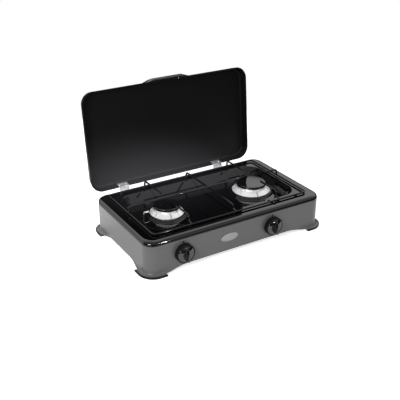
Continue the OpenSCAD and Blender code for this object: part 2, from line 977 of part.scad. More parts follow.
module name_plate() {
    plate_t = 0.8;
    r = plate_h / 2;
    color(chrome)
        in_place()
            translate([plate_x, -casing_face, plate_z])
                rotate([90, 0, 0])
                    linear_extrude(plate_t) {
                        square([plate_w - plate_h, plate_h], center = true);
                        for (s = [-1, 1])
                            translate([s * (plate_w / 2 - r), 0])
                                circle(r);
                    }
}

module hinge_places() {
    for (s = [-1, 1])
        translate([hinge_mid_x + s * hinge_pitch / 2, 0, 0])
            children();
}

function hinge_x(s) = hinge_mid_x + s * hinge_pitch / 2;

module bracket_rivet_places() {
    hinge_places()
        for (s = [-1, 1])
            translate([s * bracket_rivet_x, casing_face, axis_z - bracket_h / 4])
                children();
}

module hinge_bracket(s) {
    plate_top = shoulder_z - bracket_drop;
    color(chrome)
        in_place()
            difference() {
                union() {
                    translate([hinge_x(s) - bracket_w / 2, casing_face, plate_top - bracket_h])
                        cube([bracket_w, hinge_sheet, bracket_h]);
                    along_x([hinge_x(s) - knuckle_w / 2, axis_y, axis_z], knuckle_w, 2 * knuckle_r);
                    translate([hinge_x(s) - knuckle_w / 2, casing_face, axis_z - knuckle_r])
                        cube([knuckle_w, axis_y - casing_face, knuckle_r - 0.5]);
                }
                along_x([hinge_x(s) - bracket_w, axis_y, axis_z], 2 * bracket_w, hinge_pin_d + 2 * run_gap);
                bracket_rivet_places()
                    along_y([0, -past, 0], hinge_sheet + 2 * past, rivet_d + 2 * run_gap);
            }
}

module hinge_bracket_left() { hinge_bracket(-1); }
module hinge_bracket_right() { hinge_bracket(1); }

module hinge_pin(s) {
    head_t = 1.2;
    length = hinge_w + 2 * touch_gap;
    color(chrome)
        in_place() {
            along_x([hinge_x(s) - length / 2 - head_t, axis_y, axis_z], length + 2 * head_t, hinge_pin_d);
            for (e = [-1, 1])
                translate([e * (length + head_t) / 2, 0, 0])
                    along_x([hinge_x(s) - head_t / 2, axis_y, axis_z], head_t, hinge_pin_d + 2);
        }
}

module hinge_pin_left() { hinge_pin(-1); }
module hinge_pin_right() { hinge_pin(1); }

module rivet(grip) {
    along_y([0, grip, 0], rivet_head_t, rivet_head_d);
    along_y([0, 0, 0], grip, rivet_d);
    along_y([0, -rivet_tail_t, 0], rivet_tail_t, rivet_head_d - 1);
}

module bracket_rivets() {
    color(chrome)
        in_place()
            bracket_rivet_places()
                translate([0, -sheet, 0])
                    rivet(sheet + hinge_sheet);
}

// Turns what is drawn in the closed lid's place to the open lid
module on_lid() {
    in_place()
        translate([0, axis_y, axis_z])
            rotate([-lid_open, 0, 0])
                translate([0, -axis_y, -axis_z])
                    children();
}

module lid_section() {
    polygon(concat(
        [[-lid_bend - lid_lap, lid_z - lid_sheet], [-lid_bend - lid_lap, lid_z]],
        arc(-lid_bend, lid_z - lid_bend, lid_bend, 90, 0),
        [[lid_flare, lid_z - lid_h], [lid_flare - lid_sheet, lid_z - lid_h]],
        arc(-lid_bend, lid_z - lid_bend, lid_bend - lid_sheet, 0, 90)
    ));
}

module leaf_rivet_places() {
    z = (leaf_top + jog_z + hinge_sheet) / 2 + 1;
    hinge_places()
        for (s = [-1, 1])
            translate([s * leaf_rivet_x, lid_back + flange_face(z, true), z])
                rotate([flange_tilt, 0, 0])
                    children();
}

module grip_screw_places() {
    z = lid_z - lid_h / 2 - 1;
    for (s = [-1, 1])
        translate([s * grip_screw_x, lid_front - flange_face(z, true), z])
            rotate([-flange_tilt, 0, 0])
                children();
}

module lid_panel() {
    top_in = lid_bend + 1;
    notch_z = lid_z - lid_h - past;
    notch_top = jog_z + hinge_sheet + notch_gap;
    color(lid_lacquer)
        on_lid()
            difference() {
                union() {
                    translate([0, lid_y, 0])
                        carry_round(lid_w, lid_d, lid_r)
                            lid_section();
                    translate([0, lid_y, lid_z - lid_sheet])
                        linear_extrude(lid_sheet)
                            rounded_plate(lid_w - 2 * top_in, lid_d - 2 * top_in, lid_r - top_in);
                }
                hinge_places()
                    translate([-hinge_w / 2 - notch_gap, lid_back - lid_bend, notch_z])
                        cube([hinge_w + 2 * notch_gap, 4 * lid_bend, notch_top - notch_z]);
                leaf_rivet_places()
                    along_y([0, -past, 0], lid_sheet + 2 * past, rivet_d + 2 * run_gap);
                grip_screw_places()
                    along_y([0, -2 * past, 0], lid_sheet + 3 * past, screw_d + 2 * run_gap);
            }
}

// Z-shaped leaf: up the inside of the lid's flange, out through its notch and down to the knuckles
module leaf_section() {
    top = jog_z + hinge_sheet;
    polygon([
        [lid_back + flange_face(leaf_top, true), leaf_top], [lid_back + flange_face(top, true), top],
        [strap_y + hinge_sheet, top], [strap_y + hinge_sheet, axis_z], [strap_y, axis_z], [strap_y, jog_z],
        [lid_back + flange_face(jog_z, true) - hinge_sheet, jog_z],
        [lid_back + flange_face(leaf_top, true) - hinge_sheet, leaf_top]
    ]);
}

module hinge_leaf(s) {
    gap = knuckle_w + 2 * knuckle_gap;
    color(chrome)
        on_lid()
            difference() {
                union() {
                    translate([hinge_x(s), 0, 0])
                        rotate([90, 0, 90])
                            linear_extrude(hinge_w, center = true)
                                leaf_section();
                    along_x([hinge_x(s) - hinge_w / 2, axis_y, axis_z], hinge_w, 2 * knuckle_r);
                }
                translate([hinge_x(s) - gap / 2, axis_y - 3 * knuckle_r, axis_z - 2 * knuckle_r])
                    cube([gap, 6 * knuckle_r, 4 * knuckle_r]);
                along_x([hinge_x(s) - hinge_w, axis_y, axis_z], 2 * hinge_w, hinge_pin_d + 2 * run_gap);
                leaf_rivet_places()
                    along_y([0, -hinge_sheet - past, 0], hinge_sheet + 2 * past, rivet_d + 2 * run_gap);
            }
}

module hinge_leaf_left() { hinge_leaf(-1); }
module hinge_leaf_right() { hinge_leaf(1); }

module leaf_rivets() {
    color(chrome)
        on_lid()
            leaf_rivet_places()
                translate([0, -hinge_sheet, 0])
                    rivet(lid_sheet + hinge_sheet);
}

module lid_grip() {
    z0 = lid_z - lid_h + past;
    z1 = lid_z - lid_bend;
    face = lid_front - 2 * touch_gap;
    out = lid_front - lid_flare - grip_out;
    color(knob_black)
        on_lid()
            difference() {
                intersection() {
                    rotate([90, 0, 90])
                        linear_extrude(grip_w, center = true)
                            polygon([
                                [face - flange_face(z1, false), z1], [face - flange_face(z0, false), z0],
                                [face - flange_face(z0, false) - 2, grip_heel_z], [out + grip_round, grip_heel_z],
                                [out, grip_heel_z + grip_round], [out, z1 - 6], [out + 4, z1]
                            ]);
                    linear_extrude(2 * lid_z)
                        polygon([
                            [-grip_w / 2, lid_front], [-grip_w / 2 + grip_slope, out],
                            [grip_w / 2 - grip_slope, out], [grip_w / 2, lid_front]
                        ]);
                }
                grip_screw_places()
                    along_y([0, -grip_screw_in - past, 0], grip_screw_in + 2 * past, screw_d + 2 * run_gap);
            }
}

module grip_screws() {
    color(knob_black)
        on_lid()
            grip_screw_places() {
                along_y([0, 0, 0], screw_head_h, screw_head_d);
                along_y([0, -grip_screw_in, 0], grip_screw_in, screw_d);
            }
}

skirt_casing();
hob_top();
foot_front_left();
foot_front_right();
foot_back_left();
foot_back_right();
pan_frame();
pan_prongs();
pan_long_wire();
pan_cross_wire();
pan_feet();
burner_base_left();
burner_base_right();
burner_crown_left();
burner_crown_right();
burner_cap_left();
burner_cap_right();
burner_screws();
injector_left();
injector_right();
flame_sensor_left();
flame_sensor_right();
valve_body_left();
valve_body_right();
valve_spindle_left();
valve_spindle_right();
thrust_washer_left();
thrust_washer_right();
return_spring_left();
return_spring_right();
knob_left();
knob_right();
gas_rail();
rail_clips();
gas_inlet();
inlet_nut();
name_plate();
hinge_bracket_left();
hinge_bracket_right();
hinge_pin_left();
hinge_pin_right();
bracket_rivets();
hinge_leaf_left();
hinge_leaf_right();
leaf_rivets();
lid_panel();
lid_grip();
grip_screws();
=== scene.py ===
"""Looks of a two-burner tabletop gas stove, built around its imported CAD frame."""

import json
import logging
import math
from dataclasses import dataclass
from enum import Enum
from functools import cache
from typing import Callable, Iterable, Sequence

import bmesh
import bpy
from mathutils import Matrix, Vector

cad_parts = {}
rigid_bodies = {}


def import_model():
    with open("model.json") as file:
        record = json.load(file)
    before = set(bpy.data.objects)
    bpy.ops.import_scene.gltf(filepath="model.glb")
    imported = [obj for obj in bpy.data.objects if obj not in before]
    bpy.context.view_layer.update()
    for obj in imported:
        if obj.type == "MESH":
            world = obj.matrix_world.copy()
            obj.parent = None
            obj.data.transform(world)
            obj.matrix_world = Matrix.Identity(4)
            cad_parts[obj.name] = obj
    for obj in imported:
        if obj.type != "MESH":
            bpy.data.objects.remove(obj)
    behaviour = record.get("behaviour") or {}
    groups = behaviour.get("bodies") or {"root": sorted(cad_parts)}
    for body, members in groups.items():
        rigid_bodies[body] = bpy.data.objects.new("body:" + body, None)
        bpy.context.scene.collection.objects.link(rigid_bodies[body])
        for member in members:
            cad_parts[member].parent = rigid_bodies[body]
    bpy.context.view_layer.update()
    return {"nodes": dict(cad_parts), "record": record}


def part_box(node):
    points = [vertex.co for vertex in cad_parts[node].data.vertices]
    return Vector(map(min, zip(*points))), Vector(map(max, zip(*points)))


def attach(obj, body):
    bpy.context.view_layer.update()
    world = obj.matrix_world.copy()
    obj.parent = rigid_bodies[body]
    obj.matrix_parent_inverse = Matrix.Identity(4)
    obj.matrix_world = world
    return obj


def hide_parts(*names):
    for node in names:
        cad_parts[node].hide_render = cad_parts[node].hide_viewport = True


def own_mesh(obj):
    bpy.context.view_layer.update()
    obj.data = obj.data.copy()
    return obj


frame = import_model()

LOG = logging.getLogger("stove")
MM = 0.001
CORNER_STEPS = 14
SIDES = 96
# Lengths in millimetres in the stove's own frame: a flat strip beside each bend, how near two heights
# count as one, the casing's front face, and the places of the burners and knobs.
STRIP = 1.5
NEAR = 0.01
FACE_Y = -149.7
BURNER_Y = 7.0
BURNER_X = {"left": -122.0, "right": 142.0}
KNOB_X = {"left": -163.0, "right": 99.0}
KNOB_Z = 46.0
UP_AXIS = (0, 0, 1)
FRONT_AXIS = (0, 1, 0)
# A finish's clouds in grains, the tones over which it changes gloss, and how rings and brushing stretch.
CLOUD_GRAINS = 14
TONE_SPAN = (0.3, 0.7)
RING_STRETCH = (1.0, 1.0, 0.35)
BRUSH_STRETCH = (0.03, 1.0, 1.0)
WHITE = (1, 1, 1, 1)

Point = Sequence[float]
Pair = tuple[float, float]
Triple = tuple[float, float, float]
Profile = Sequence[Pair]
Tree = bpy.types.NodeTree
Socket = bpy.types.NodeSocket


def stove_middle() -> float:
    """Row-frame y of the stove's own middle, read from the hob's box, in metres."""
    low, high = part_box("hob_top")
    return (low.y + high.y) / 2


def arc(cx: float, cz: float, radius: float, start: float, end: float, steps: int) -> list[Pair]:
    """Points on an arc in a plane, with angles in degrees."""
    turns = [math.radians(start + (end - start) * i / steps) for i in range(steps + 1)]
    return [(cx + radius * math.cos(a), cz + radius * math.sin(a)) for a in turns]


def linear(code: str) -> tuple[float, float, float, float]:
    """Turn an sRGB hex colour into linear RGBA.

    Args:
        code: Six hex digits after a hash sign.

    Returns:
        The linear colour with an alpha of 1.
    """
    parts = [int(code[i:i + 2], 16) / 255 for i in (1, 3, 5)]
    parts = [c / 12.92 if c <= 0.04045 else ((c + 0.055) / 1.055) ** 2.4 for c in parts]
    return (parts[0], parts[1], parts[2], 1.0)


def add_node(tree: Tree, kind: str, settings: dict | None = None, **inputs: object) -> bpy.types.Node:
    """Add a node with its settings, input values and links.

    Args:
        tree: The node tree.
        kind: The node's type name after ShaderNode.
        settings: Attributes to set on the node.
        inputs: Values or sockets, by input name with underscores for spaces, or i0, i1 by place.

    Returns:
        The new node.
    """
    node = tree.nodes.new("ShaderNode" + kind)
    for key, value in (settings or {}).items():
        setattr(node, key, value)
    for key, value in inputs.items():
        place = int(key[1:]) if key[0] == "i" and key[1:].isdigit() else key.replace("_", " ")
        if isinstance(value, Socket):
            tree.links.new(value, node.inputs[place])
        else:
            node.inputs[place].default_value = value
    return node


def calc(tree: Tree, how: str, *values: object) -> Socket:
    """Join numbers, as values or sockets, by a math operation."""
    inputs = {f"i{place}": value for place, value in enumerate(values)}
    return add_node(tree, "Math", {"operation": how}, **inputs).outputs[0]


def calc_vector(tree: Tree, how: str, *values: object) -> Socket:
    """Join vectors, as values or sockets, by a vector operation."""
    inputs = {f"i{place}": value for place, value in enumerate(values)}
    node = add_node(tree, "VectorMath", {"operation": how}, **inputs)
    return node.outputs["Value" if how in ("LENGTH", "DOT_PRODUCT") else "Vector"]


def ramp(tree: Tree, value: Socket, span: Pair, level: Pair = (0.0, 1.0),
         shape: str = "SMOOTHSTEP") -> Socket:
    """Map a span of a value onto a pair of levels.

    Args:
        tree: The node tree.
        value: The value.
        span: Where the ramp starts and ends.
        level: What it gives there and beyond.
        shape: SMOOTHSTEP for soft ends, or LINEAR.

    Returns:
        The level's socket.
    """
    node = add_node(tree, "MapRange", {"interpolation_type": shape}, Value=value, From_Min=span[0],
                    From_Max=span[1], To_Min=level[0], To_Max=level[1])
    return node.outputs[0]


def blend(tree: Tree, share: Socket, first: str, second: str) -> Socket:
    """Blend two hex colours by the share of the second."""
    node = add_node(tree, "Mix", {"data_type": "RGBA"}, Factor=share, A=linear(first), B=linear(second))
    return node.outputs["Result"]


def noise(tree: Tree, where: Socket, size_mm: float, detail: float) -> Socket:
    """Cloudy noise from 0 to 1, of a size in millimetres."""
    return add_node(tree, "TexNoise", None, Vector=where, Scale=1000 / size_mm, Detail=detail).outputs["Fac"]


def blank_tree(owner: bpy.types.Material | bpy.types.World) -> Tree:
    """Switch a material or world to nodes and clear them."""
    owner.use_nodes = True
    owner.node_tree.nodes.clear()
    return owner.node_tree


class Pattern(Enum):
    """How a surface was made, which sets the pattern that it shows."""

    FIRED = "fired glassy coat with a faint orange peel"
    SPRAYED = "sprayed lacquer with fine flakes"
    MOULDED = "moulded with a fine grain"
    TURNED = "turned on a lathe, with fine rings"
    BRUSHED = "drawn or brushed along X"
    CAST = "cast, with a coarse skin"


@dataclass(frozen=True)
class Finish:
    """One real surface: its colours, gloss and the pattern its making left."""

    name: str
    light: str
    dark: str
    pattern: Pattern
    rough: Pair
    grain_mm: float
    bump_mm: float
    metallic: float = 0.0
    ior: float = 1.5

    def make(self) -> bpy.types.Material:
        """Build the finish as a node material.

        Returns:
            The material, on Object coordinates.
        """
        material = bpy.data.materials.new(self.name)
        tree = blank_tree(material)
        where = add_node(tree, "TexCoord").outputs["Object"]
        grain = self.grain(tree, where)
        cloud = noise(tree, where, self.grain_mm * CLOUD_GRAINS, 3.0)
        tone = calc(tree, "MULTIPLY_ADD", cloud, 0.5, calc(tree, "MULTIPLY", grain, 0.5))
        colour = blend(tree, tone, self.dark, self.light)
        rough = ramp(tree, tone, TONE_SPAN, self.rough, "LINEAR")
        bump = add_node(tree, "Bump", None, Strength=1.0, Distance=self.bump_mm * MM, Height=grain)
        shader = add_node(tree, "BsdfPrincipled", None, Base_Color=colour, Roughness=rough,
                          Metallic=self.metallic, IOR=self.ior, Normal=bump.outputs[0])
        add_node(tree, "OutputMaterial", None, Surface=shader.outputs[0])
        return material

    def grain(self, tree: Tree, where: Socket) -> Socket:
        """Draw the pattern that the making left.

        Args:
            tree: The material's node tree.
            where: Object coordinates in metres.

        Returns:
            A socket that runs from 0 to 1.
        """
        scale = 1000 / self.grain_mm
        if self.pattern is Pattern.TURNED:
            radius = calc_vector(tree, "LENGTH", calc_vector(tree, "MULTIPLY", where, RING_STRETCH))
            rings = add_node(tree, "TexNoise", {"noise_dimensions": "1D"}, W=radius, Scale=scale, Detail=2.0)
            return rings.outputs["Fac"]
        if self.pattern is Pattern.BRUSHED:
            return noise(tree, calc_vector(tree, "MULTIPLY", where, BRUSH_STRETCH), self.grain_mm, 2.0)
        if self.pattern is Pattern.SPRAYED:
            cells = add_node(tree, "TexVoronoi", None, Vector=where, Scale=scale)
            return add_node(tree, "SeparateColor", None, Color=cells.outputs["Color"]).outputs[0]
        return noise(tree, where, self.grain_mm, 5.0 if self.pattern is Pattern.CAST else 2.0)


# The stove's finishes by material slot.
FINISHES = {
    # Black vitreous enamel: glassy, mirrors the room, faint orange peel from spraying the slip.
    "enamel_black": Finish(
        "vitreous_enamel", "#060607", "#030304", Pattern.FIRED, (0.035, 0.06), 9.0, 0.004, ior=1.6),
    # Satin black lacquer on the lid: no mirror image, only a soft and weak sheen.
    "lid_lacquer": Finish(
        "satin_lacquer", "#131314", "#101011", Pattern.SPRAYED, (0.34, 0.4), 1.2, 0.003, ior=1.24),
    # Anthracite stoving lacquer: soft gloss with a fine flake that is drawn coarser to show.
    "lacquer_grey": Finish(
        "stoving_lacquer", "#5a5a5b", "#515152", Pattern.SPRAYED, (0.3, 0.38), 0.8, 0.01),
    # Black enamelled wire: glassy but thinner, a little wavy.
    "wire_black": Finish(
        "enamelled_wire", "#070708", "#040405", Pattern.FIRED, (0.05, 0.09), 4.0, 0.006, ior=1.42),
    # Moulded rubber: dull black with a fine skin.
    "rubber_black": Finish(
        "moulded_rubber", "#121212", "#0c0c0c", Pattern.MOULDED, (0.5, 0.62), 1.2, 0.03, ior=1.25),
    # Turned aluminium: bright and satin, with fine rings that are drawn coarser to show.
    "polished_aluminium": Finish(
        "turned_aluminium", "#ebebeb", "#dedede", Pattern.TURNED, (0.46, 0.54), 0.9, 0.004, metallic=0.85),
    # As-cast aluminium: grey, grainy skin.
    "cast_aluminium": Finish(
        "cast_aluminium", "#a9abad", "#8e9092", Pattern.CAST, (0.42, 0.6), 1.6, 0.06, metallic=1.0),
    # Satin anodised aluminium: fine brushing along its length.
    "plate_aluminium": Finish(
        "anodised_aluminium", "#9c9c9d", "#8a8a8c", Pattern.BRUSHED, (0.4, 0.5), 0.5, 0.006, metallic=1.0),
    # Zinc-plated steel: bluish grey with soft clouds.
    "steel": Finish(
        "zinc_plate", "#b9bcc0", "#9b9ea3", Pattern.CAST, (0.3, 0.42), 2.5, 0.01, metallic=1.0),
    # Machined brass: warm, with fine turning marks.
    "brass": Finish(
        "machined_brass", "#c8a75a", "#a88643", Pattern.TURNED, (0.25, 0.36), 0.7, 0.008, metallic=1.0),
    # Satin chrome plate: a bright, blurred mirror.
    "chrome": Finish(
        "chrome_plate", "#ecedef", "#e0e2e4", Pattern.FIRED, (0.2, 0.28), 6.0, 0.003, metallic=0.95),
    # Moulded phenolic plastic: deep black with a polished, slightly wavy skin.
    "knob_black": Finish(
        "phenolic_plastic", "#141415", "#0d0d0e", Pattern.MOULDED, (0.045, 0.08), 3.0, 0.006, ior=1.65),
}


@cache
def finish_of(slot: str) -> bpy.types.Material:
    """Return the material of a slot, made on first use."""
    return FINISHES[slot].make()


class Bench:
    """A piece being modelled: one mesh in millimetres in the stove's own frame."""

    def __init__(self, name: str) -> None:
        """Start an empty mesh under the piece's name and open it for editing."""
        if bpy.context.mode != "OBJECT":
            bpy.ops.object.mode_set(mode="OBJECT")
        bpy.ops.object.select_all(action="DESELECT")
        bpy.ops.mesh.primitive_plane_add(size=1.0)
        self.obj = bpy.context.object
        self.obj.name = self.obj.data.name = name
        bpy.ops.object.mode_set(mode="EDIT")
        bpy.ops.mesh.select_all(action="SELECT")
        bpy.ops.mesh.delete(type="VERT")

    def shut(self) -> None:
        """Leave edit mode with this the only selected object."""
        if bpy.context.mode != "OBJECT":
            bpy.ops.object.mode_set(mode="OBJECT")
        bpy.ops.object.select_all(action="DESELECT")
        self.obj.select_set(True)
        bpy.context.view_layer.objects.active = self.obj

    def open(self) -> None:
        """Open this alone for editing."""
        self.shut()
        bpy.ops.object.mode_set(mode="EDIT")

    def outline(self, width: float, depth: float, radius: float, z: float, y: float = 0.0) -> None:
        """Add a flat rounded rectangle as one face and leave it selected.

        Args:
            width: Size along X.
            depth: Size along Y.
            radius: Corner radius.
            z: Height.
            y: Place of its middle along Y.
        """
        bpy.ops.mesh.primitive_plane_add(size=1.0, location=(0, y, z))
        self.stretch((width, depth, 1), (0, y, z))
        bpy.ops.mesh.bevel(offset=radius, segments=CORNER_STEPS, affect="VERTICES")

    def disc(self, centre: Point, radius: float) -> None:
        """Add a flat round face, facing up, and leave it selected."""
        bpy.ops.mesh.primitive_circle_add(vertices=SIDES, radius=radius, fill_type="NGON", location=centre)

    def stretch(self, by: Point, centre: Point = (0, 0, 0)) -> None:
        """Stretch what is selected about a point."""
        bpy.ops.transform.resize(value=by, center_override=centre)

    def step(self, inward: float, up: float) -> None:
        """Inset the selected face and move it along its normal."""
        bpy.ops.mesh.inset(thickness=inward, depth=up, use_even_offset=True)

    def follow(self, profile: Profile) -> None:
        """Step the selected face along a profile of places, each an inward distance and a height.

        Args:
            profile: Places from the selected face's own, which comes first.
        """
        for (x0, z0), (x1, z1) in zip(profile, profile[1:]):
            self.step(x1 - x0, z1 - z0)

    def drop_face(self) -> None:
        """Delete the selected face and keep its edges."""
        bpy.ops.mesh.delete(type="ONLY_FACE")

    def chain(self, points: Sequence[Point]) -> None:
        """Trace edges through points, and leave them selected."""
        bpy.ops.mesh.select_all(action="DESELECT")
        bpy.ops.mesh.primitive_plane_add(size=1.0, location=points[0])
        bpy.ops.mesh.merge(type="CENTER")
        for here, there in zip(points, points[1:]):
            move = Vector(there) - Vector(here)
            bpy.ops.mesh.extrude_vertices_move(TRANSFORM_OT_translate={"value": move})
        bpy.ops.mesh.select_linked()

    def extrude(self, along: Point) -> None:
        """Extrude what is selected."""
        bpy.ops.mesh.extrude_region_move(TRANSFORM_OT_translate={"value": along})

    def block(self, points: Sequence[Point], along: Point) -> None:
        """Trace a closed outline, fill it and extrude it."""
        self.chain(points)
        bpy.ops.mesh.edge_face_add()
        self.extrude(along)

    def prism(self, points: Sequence[Point], along: Point) -> None:
        """Add a block and clean the mesh."""
        self.block(points, along)
        self.clean()

    def lathe(self, points: Sequence[Point], centre: Point, axis: Point) -> None:
        """Trace a profile and spin it once round an axis.

        Args:
            points: The profile, in a plane through the axis.
            centre: A point on the axis.
            axis: The axis direction.
        """
        self.chain(points)
        bpy.ops.mesh.spin(steps=SIDES, angle=math.tau, center=centre, axis=axis)
        self.clean()

    def tube(self, points: Sequence[Point], radius: float, closed: bool = False) -> None:
        """Trace a line, turn it into a round wire and back into a mesh.

        Args:
            points: The wire's middle line.
            radius: The wire's radius.
            closed: Whether the line joins up with its start.
        """
        self.chain(points)
        if closed:
            ends = (Vector(points[0]), Vector(points[-1]))
            self.pick_verts(lambda p: min((p - end).length for end in ends) < 1e-4)
            bpy.ops.mesh.edge_face_add()
        self.shut()
        bpy.ops.object.convert(target="CURVE")
        curve = bpy.context.object.data
        curve.bevel_depth = radius
        curve.bevel_resolution = 5
        curve.use_fill_caps = not closed
        bpy.ops.object.convert(target="MESH")
        self.obj = bpy.context.object
        self.open()
        self.clean()

    def clean(self) -> None:
        """Merge doubles and turn all faces outwards."""
        bpy.ops.mesh.select_all(action="SELECT")
        bpy.ops.mesh.remove_doubles(threshold=0.002)
        bpy.ops.mesh.normals_make_consistent(inside=False)

    def pick_verts(self, test: Callable[[Vector], bool]) -> None:
        """Select the vertices whose place passes a test."""
        bpy.ops.mesh.select_all(action="DESELECT")
        mesh = bmesh.from_edit_mesh(self.obj.data)
        for vert in mesh.verts:
            vert.select_set(test(vert.co))
        mesh.select_flush(True)
        bmesh.update_edit_mesh(self.obj.data)

    def pick_rims(self, z: float) -> None:
        """Select the open edges at a height."""
        bpy.ops.mesh.select_all(action="DESELECT")
        bpy.ops.mesh.select_mode(type="EDGE")
        mesh = bmesh.from_edit_mesh(self.obj.data)
        for edge in mesh.edges:
            middle = (edge.verts[0].co + edge.verts[1].co) / 2
            edge.select_set(len(edge.link_faces) < 2 and abs(middle.z - z) < NEAR)
        bmesh.update_edit_mesh(self.obj.data)

    def modify(self, kind: str, **settings: object) -> None:
        """Add a modifier with its settings and apply it."""
        self.shut()
        modifier = self.obj.modifiers.new(kind, kind)
        for key, value in settings.items():
            setattr(modifier, key, value)
        bpy.ops.object.modifier_apply(modifier=modifier.name)

    def combine(self, other: "Bench", how: str = "DIFFERENCE") -> None:
        """Cut with another piece or add it, which uses it up.

        Args:
            other: The other piece.
            how: DIFFERENCE or UNION.
        """
        other.shut()
        self.modify("BOOLEAN", operation=how, object=other.obj, solver="EXACT")
        bpy.data.objects.remove(other.obj)

    def round_edges(self, width: float, steps: int = 3, angle: float = 35.0) -> None:
        """Round every edge that is sharper than an angle in degrees."""
        self.modify("BEVEL", width=width, segments=steps, limit_method="ANGLE", angle_limit=math.radians(angle),
                    use_clamp_overlap=True, harden_normals=False)

    def wall(self, thickness: float) -> None:
        """Give an open sheet its thickness, behind its face."""
        self.modify("SOLIDIFY", thickness=thickness, offset=-1.0, use_even_offset=True)

    def place(self, move: Matrix) -> None:
        """Leave edit mode and move the mesh by a matrix."""
        self.shut()
        self.obj.matrix_world = move
        bpy.ops.object.transform_apply(location=True, rotation=True, scale=True)

    def settle(self, body: str, slot: str, nodes: Iterable[str] = (), turn: Matrix | None = None,
               smooth: float = 38.0, flat: bool = False) -> bpy.types.Object:
        """Bring the finished piece to metres in the row frame, dress it and let it ride.

        Args:
            body: The CAD body that it moves with.
            slot: The record's material slot.
            nodes: The CAD nodes that it stands for.
            turn: A turn in the stove's frame, in millimetres, before it is settled.
            smooth: The angle in degrees under which edges are shaded smooth.
            flat: Whether its large faces are shaded flat up to their bends.

        Returns:
            The piece.
        """
        row = Matrix.Translation((0, stove_middle(), 0)) @ Matrix.Scale(MM, 4)
        self.place(row @ (turn or Matrix.Identity(4)))
        bpy.ops.object.shade_smooth_by_angle(angle=math.radians(smooth))
        if flat:
            self.modify("WEIGHTED_NORMAL", keep_sharp=True, weight=80)
        self.obj.data.materials.clear()
        self.obj.data.materials.append(finish_of(slot))
        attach(self.obj, body)
        if nodes:
            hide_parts(*nodes)
        LOG.info("%s: %d faces on %s", self.obj.name, len(self.obj.data.polygons), body)
        return self.obj


